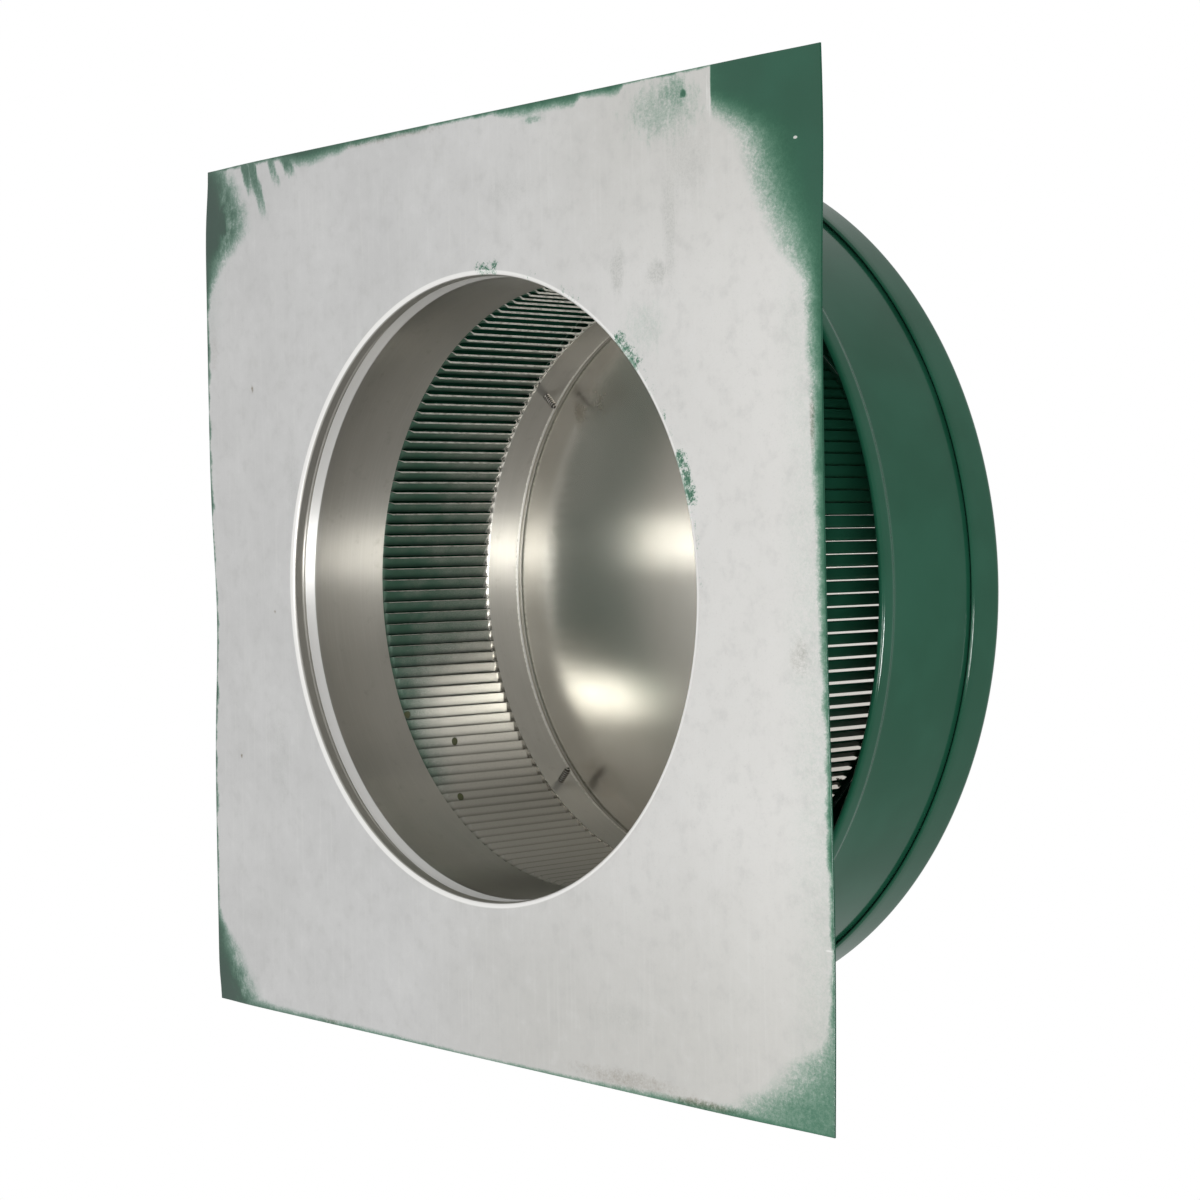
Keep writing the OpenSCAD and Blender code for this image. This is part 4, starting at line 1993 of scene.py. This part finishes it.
    def mounting_ring(self) -> bpy.types.Object:
        """Builds the mounting ring.

        Returns:
            The piece, bare on its throat side and coated where spray reaches it from outside.
        """
        outline = cut_edge(self.ring_face(0), self.ring_face(self.sheet))
        inside = self.ring_r + 0.3 * MM
        top = self.drum_z + 2.3 * MM

        def side_of(middles: np.ndarray) -> np.ndarray:
            """Bare inside and above the drum's edge, and coated elsewhere."""
            bare = (middles[:, 0] < inside) | (middles[:, 1] > top)
            return np.where(bare, Side.BARE.value, Side.COATED.value)

        metal = RolledSheet(
            name="spun_ring",
            bright=(0.72, 0.71, 0.69),
            tired=(0.64, 0.63, 0.60),
            roughness=0.26,
            brushed=0.2,
            metallic=0.9,
        )
        finishes = [metal.dress(), GreenEnamel(gloss=0.3).dress("ring_enamel")]
        return spin(outline, self.segments, side_of).build("mounting_ring_sheet", finishes)

    def make(self) -> None:
        """Builds and dresses the cap."""
        settle(self.mounting_ring(), Slot.RING, "cap_mounting_ring")
        settle(self.dome(), Slot.COAT, "cap_dome")
        settle(self.wind_band(), Slot.COAT, "wind_band")


@dataclass
class CapScrew:
    """Hex washer head screw with a rolled thread, driven towards the axis.

    Attributes:
        number: Its number, from 1.
        angle: Its direction from the axis, in radians.
        height: Its height.
        seat: Radius of the wall under its head.
        length: Length of the shank.
        thread_r: Radius over the thread.
        depth: Depth of the thread.
        pitch: Pitch of the thread.
        point: Length of the tapering point.
        washer_r: Radius of the washer face.
        washer_t: Its thickness.
        flats: Width of the hexagon across its flats.
        head_h: Height of the hexagon.
    """

    number: int
    angle: float
    height: float
    seat: float = 153.5 * MM
    length: float = 12.7 * MM
    thread_r: float = 2.1 * MM
    depth: float = 0.7 * MM
    pitch: float = 1.4 * MM
    point: float = 2.4 * MM
    washer_r: float = 4.1 * MM
    washer_t: float = 0.8 * MM
    flats: float = 6.35 * MM
    head_h: float = 3.0 * MM

    def shank(self) -> Shape:
        """The threaded shank, along +z from the seat to the point.

        Formula: the radius at height z and angle a is core + depth * ridge(z / pitch - a / 2 pi), where
        the ridge is a narrow triangle wave; towards the point core and depth both shrink to nothing.

        Returns:
            The closed shank, whose across is 1 on the thread's crest and 0 in its valley.
        """
        around, steps = 40, 150
        a = full_turn(around)
        z = np.linspace(0, self.length, steps)[:, None]
        phase = (z / self.pitch - a / (2 * np.pi)) % 1
        ridge = np.clip(1 - np.abs(phase - 0.5) * 3.0, 0, 1)
        taper = np.clip((self.length - z) / self.point, 0, 1) ** 0.75
        start = smooth_step(z / (0.8 * MM))
        r = (self.thread_r - self.depth) * taper + self.depth * ridge * taper * start
        r = np.maximum(r, 0.05 * MM)
        shank = capped(ring_points(r, z, a).reshape(-1, 3), steps, around)
        shank.across = np.concatenate([ridge.ravel(), [0, 0]])
        return shank

    def head(self) -> Shape:
        """The washer face and hexagonal head, along -z from the seat, with eased corners.

        Formula: the radius at angle a is the hexagon's, flats / 2 / cos(a folded to 30 degrees), or a
        circle's for the washer. Each row is a height, a circle's radius and a share of the hexagon's.

        Returns:
            The closed head.
        """
        around = 96
        a = full_turn(around)
        folded = (a + np.pi / 6) % (np.pi / 3) - np.pi / 6
        hexagon = self.flats / 2 / np.cos(folded)
        top = -(self.washer_t + self.head_h)
        ease = 0.35 * MM
        rows = (
            (0.0, self.washer_r - 0.1 * MM, 0.0),
            (-0.15 * MM, self.washer_r, 0.0),
            (-self.washer_t + 0.2 * MM, self.washer_r, 0.0),
            (-self.washer_t, self.washer_r - 0.25 * MM, 0.0),
            (-self.washer_t - 0.05 * MM, 0.0, 1.02),
            (-self.washer_t - 0.3 * MM, 0.0, 1.0),
            (top + ease, 0.0, 1.0),
            (top + ease * 0.35, 0.0, 0.96),
            (top, 0.0, 0.84),
            (top + 0.25 * MM, 0.0, 0.6),
        )
        z = np.array([row[0] for row in rows])[:, None]
        r = np.stack([row[1] + row[2] * hexagon for row in rows])
        return capped(ring_points(r, z, a).reshape(-1, 3), len(rows), around)

    def make(self) -> None:
        """Builds and dresses the screw: its own z becomes the way from its seat to the axis."""
        shank, head = self.shank(), self.head()
        shape = merged([shank, head])
        shape.sides = np.where(np.arange(len(shape.faces)) < len(shank.faces), 0, 1)
        inward = np.array([-math.cos(self.angle), -math.sin(self.angle), 0])
        sideways = np.array([-inward[1], inward[0], 0])
        up = np.array([0.0, 0.0, 1.0])
        base = np.array([[0, 0, self.height]]) - self.seat * inward
        local = shape.points
        shape.points = base + local[:, :1] * sideways + local[:, 1:2] * up + local[:, 2:] * inward
        name = f"cap_screw_{self.number}"
        finishes = [ScrewSteel().dress(), GreenEnamel(gloss=0.3).dress("screw_enamel")]
        settle(shape.build(f"hex_{name}", finishes, crease=30), Slot.SCREW, name)


# Studio


@dataclass(frozen=True)
class Lamp:
    """A soft square lamp that points at the vent.

    Attributes:
        name: Its name.
        place: Where it is.
        size: Length of its side.
        power: Its power in watts.
        mirrored: Whether it shows in glossy surfaces.
        lights: Whether it lights surfaces; if not, it only shows in them.
    """

    name: str
    place: Triple
    size: float
    power: float
    mirrored: bool = True
    lights: bool = True

    def hang(self, target: Vector) -> None:
        """Puts the lamp into the scene.

        Args:
            target: The point that it faces.
        """
        data = bpy.data.lights.new(self.name, "AREA")
        data.shape = "SQUARE"
        data.size = self.size
        data.energy = self.power
        lamp = bpy.data.objects.new(self.name, data)
        lamp.location = self.place
        lamp.visible_glossy = self.mirrored
        lamp.visible_diffuse = self.lights
        way = target - Vector(self.place)
        lamp.rotation_euler = way.to_track_quat("-Z", "Y").to_euler()
        bpy.context.scene.collection.objects.link(lamp)


@dataclass(frozen=True)
class Studio:
    """Camera, lamps, pale floor and white backdrop.

    Attributes:
        eye: Place of the camera, solved from the flange's corners and the throat's rings.
        ahead: Its view direction.
        above: The direction that is up in the picture.
        lens: Focal length in millimetres.
        sensor: Width of the camera's sensor in millimetres.
        floor_side: Side of the square floor.
        floor_drop: How far the floor lies below the flange.
        ambient: Strength of the soft light from all around.
        aim: The point that the lamps face.
        lamps: The lamps.
    """

    eye: Triple = (-0.924777, 0.026741, -0.760906)
    ahead: Triple = (0.738820, -0.027159, 0.673355)
    above: Triple = (0.010104, 0.999522, 0.029227)
    lens: float = 74.026
    sensor: float = 36.0
    floor_side: float = 6.0
    floor_drop: float = 0.4 * MM
    ambient: float = 0.5
    aim: Triple = (0.0, 0.0, 0.08)
    lamps: tuple[Lamp, ...] = (
        Lamp("key_by_camera", (-1.15, -0.30, -0.85), 0.35, 11.0),
        Lamp("over_cap", (-0.4, 0.5, 1.6), 1.3, 12.0, mirrored=False),
        Lamp("behind_cap", (1.4, -0.7, 0.9), 1.0, 6.0, mirrored=False),
        Lamp("beside_band", (-1.3, -0.3, 0.3), 0.3, 32.0, lights=False),
    )

    def camera(self) -> None:
        """Sets the camera at the photograph's viewing angle."""
        data = bpy.data.cameras.new("camera")
        data.lens = self.lens
        data.sensor_width = self.sensor
        data.clip_start = 0.05
        data.clip_end = 50
        camera = bpy.data.objects.new("camera", data)
        ahead, above = Vector(self.ahead).normalized(), Vector(self.above).normalized()
        right = ahead.cross(above).normalized()
        above = right.cross(ahead)
        turn = Matrix((right, above, -ahead)).transposed()
        camera.matrix_world = Matrix.Translation(self.eye) @ turn.to_4x4()
        bpy.context.scene.collection.objects.link(camera)
        bpy.context.scene.camera = camera

    def backdrop(self) -> None:
        """White to the camera and in reflections, and a plain soft light to everything else."""
        world = bpy.data.worlds.new("backdrop")
        world.use_nodes = True
        tree = world.node_tree
        tree.nodes.clear()
        rays = tree.nodes.new("ShaderNodeLightPath")
        shown = rays.outputs["Is Camera Ray"]
        for kind in ("Is Glossy Ray", "Is Transmission Ray"):
            either = tree.nodes.new("ShaderNodeMath")
            either.operation = "MAXIMUM"
            tree.links.new(shown, either.inputs[0])
            tree.links.new(rays.outputs[kind], either.inputs[1])
            shown = either.outputs[0]
        soft, white = (tree.nodes.new("ShaderNodeBackground") for _ in range(2))
        soft.inputs["Color"].default_value = (1.0, 1.0, 1.0, 1.0)
        soft.inputs["Strength"].default_value = self.ambient
        white.inputs["Color"].default_value = (1.0, 1.0, 1.0, 1.0)
        choice = tree.nodes.new("ShaderNodeMixShader")
        tree.links.new(shown, choice.inputs[0])
        tree.links.new(soft.outputs[0], choice.inputs[1])
        tree.links.new(white.outputs[0], choice.inputs[2])
        output = tree.nodes.new("ShaderNodeOutputWorld")
        tree.links.new(choice.outputs[0], output.inputs["Surface"])
        bpy.context.scene.world = world

    def floor(self) -> None:
        """Lays the floor just under the flange. From below the camera looks through it."""
        half = self.floor_side / 2
        corners = np.array([[-half, -half], [half, -half], [half, half], [-half, half]])
        points = np.concatenate([corners, np.full((4, 1), -self.floor_drop)], axis=1)
        floor = Shape(points, np.array([[0, 1, 2, 3]])).build("floor", [PaleFloor().dress()])
        floor.visible_shadow = False
        floor.visible_diffuse = False
        floor.visible_glossy = False
        floor.visible_transmission = False

    def make(self) -> None:
        """Sets up the whole studio."""
        self.camera()
        self.backdrop()
        self.floor()
        for lamp in self.lamps:
            lamp.hang(Vector(self.aim))
        bpy.context.scene.view_settings.view_transform = "Standard"


def main() -> None:
    """Builds the studio and the sub-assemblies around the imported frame, in order."""
    logging.basicConfig(level=logging.INFO, format="%(name)s: %(message)s")
    Studio().make()
    plate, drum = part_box("base_flange"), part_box("louver_drum")
    ring, dome, band = (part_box(node) for node in ("cap_mounting_ring", "cap_dome", "wind_band"))

    RoofFlange(half=plate[1].x, neck_h=plate[1].z - NECK_DROP).make()
    rim = drum[1].z + RIM_RISE
    LouverDrum(bell_z=drum[0].z, top_z=rim, bell_r=drum[1].x - SHEET).make()
    Cap(
        drum_z=rim,
        apex_z=dome[1].z,
        rim_r=dome[1].x,
        rim_z=dome[0].z,
        band_z=band[0].z,
        bead_r=band[1].x,
        ring_z=ring[0].z,
        flare_r=ring[1].x,
    ).make()
    for number in range(1, SCREWS + 1):
        low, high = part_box(f"cap_screw_{number}")
        middle = (low + high) / 2
        CapScrew(number, math.atan2(middle.y, middle.x), middle.z).make()


if __name__ == "__main__":
    main()
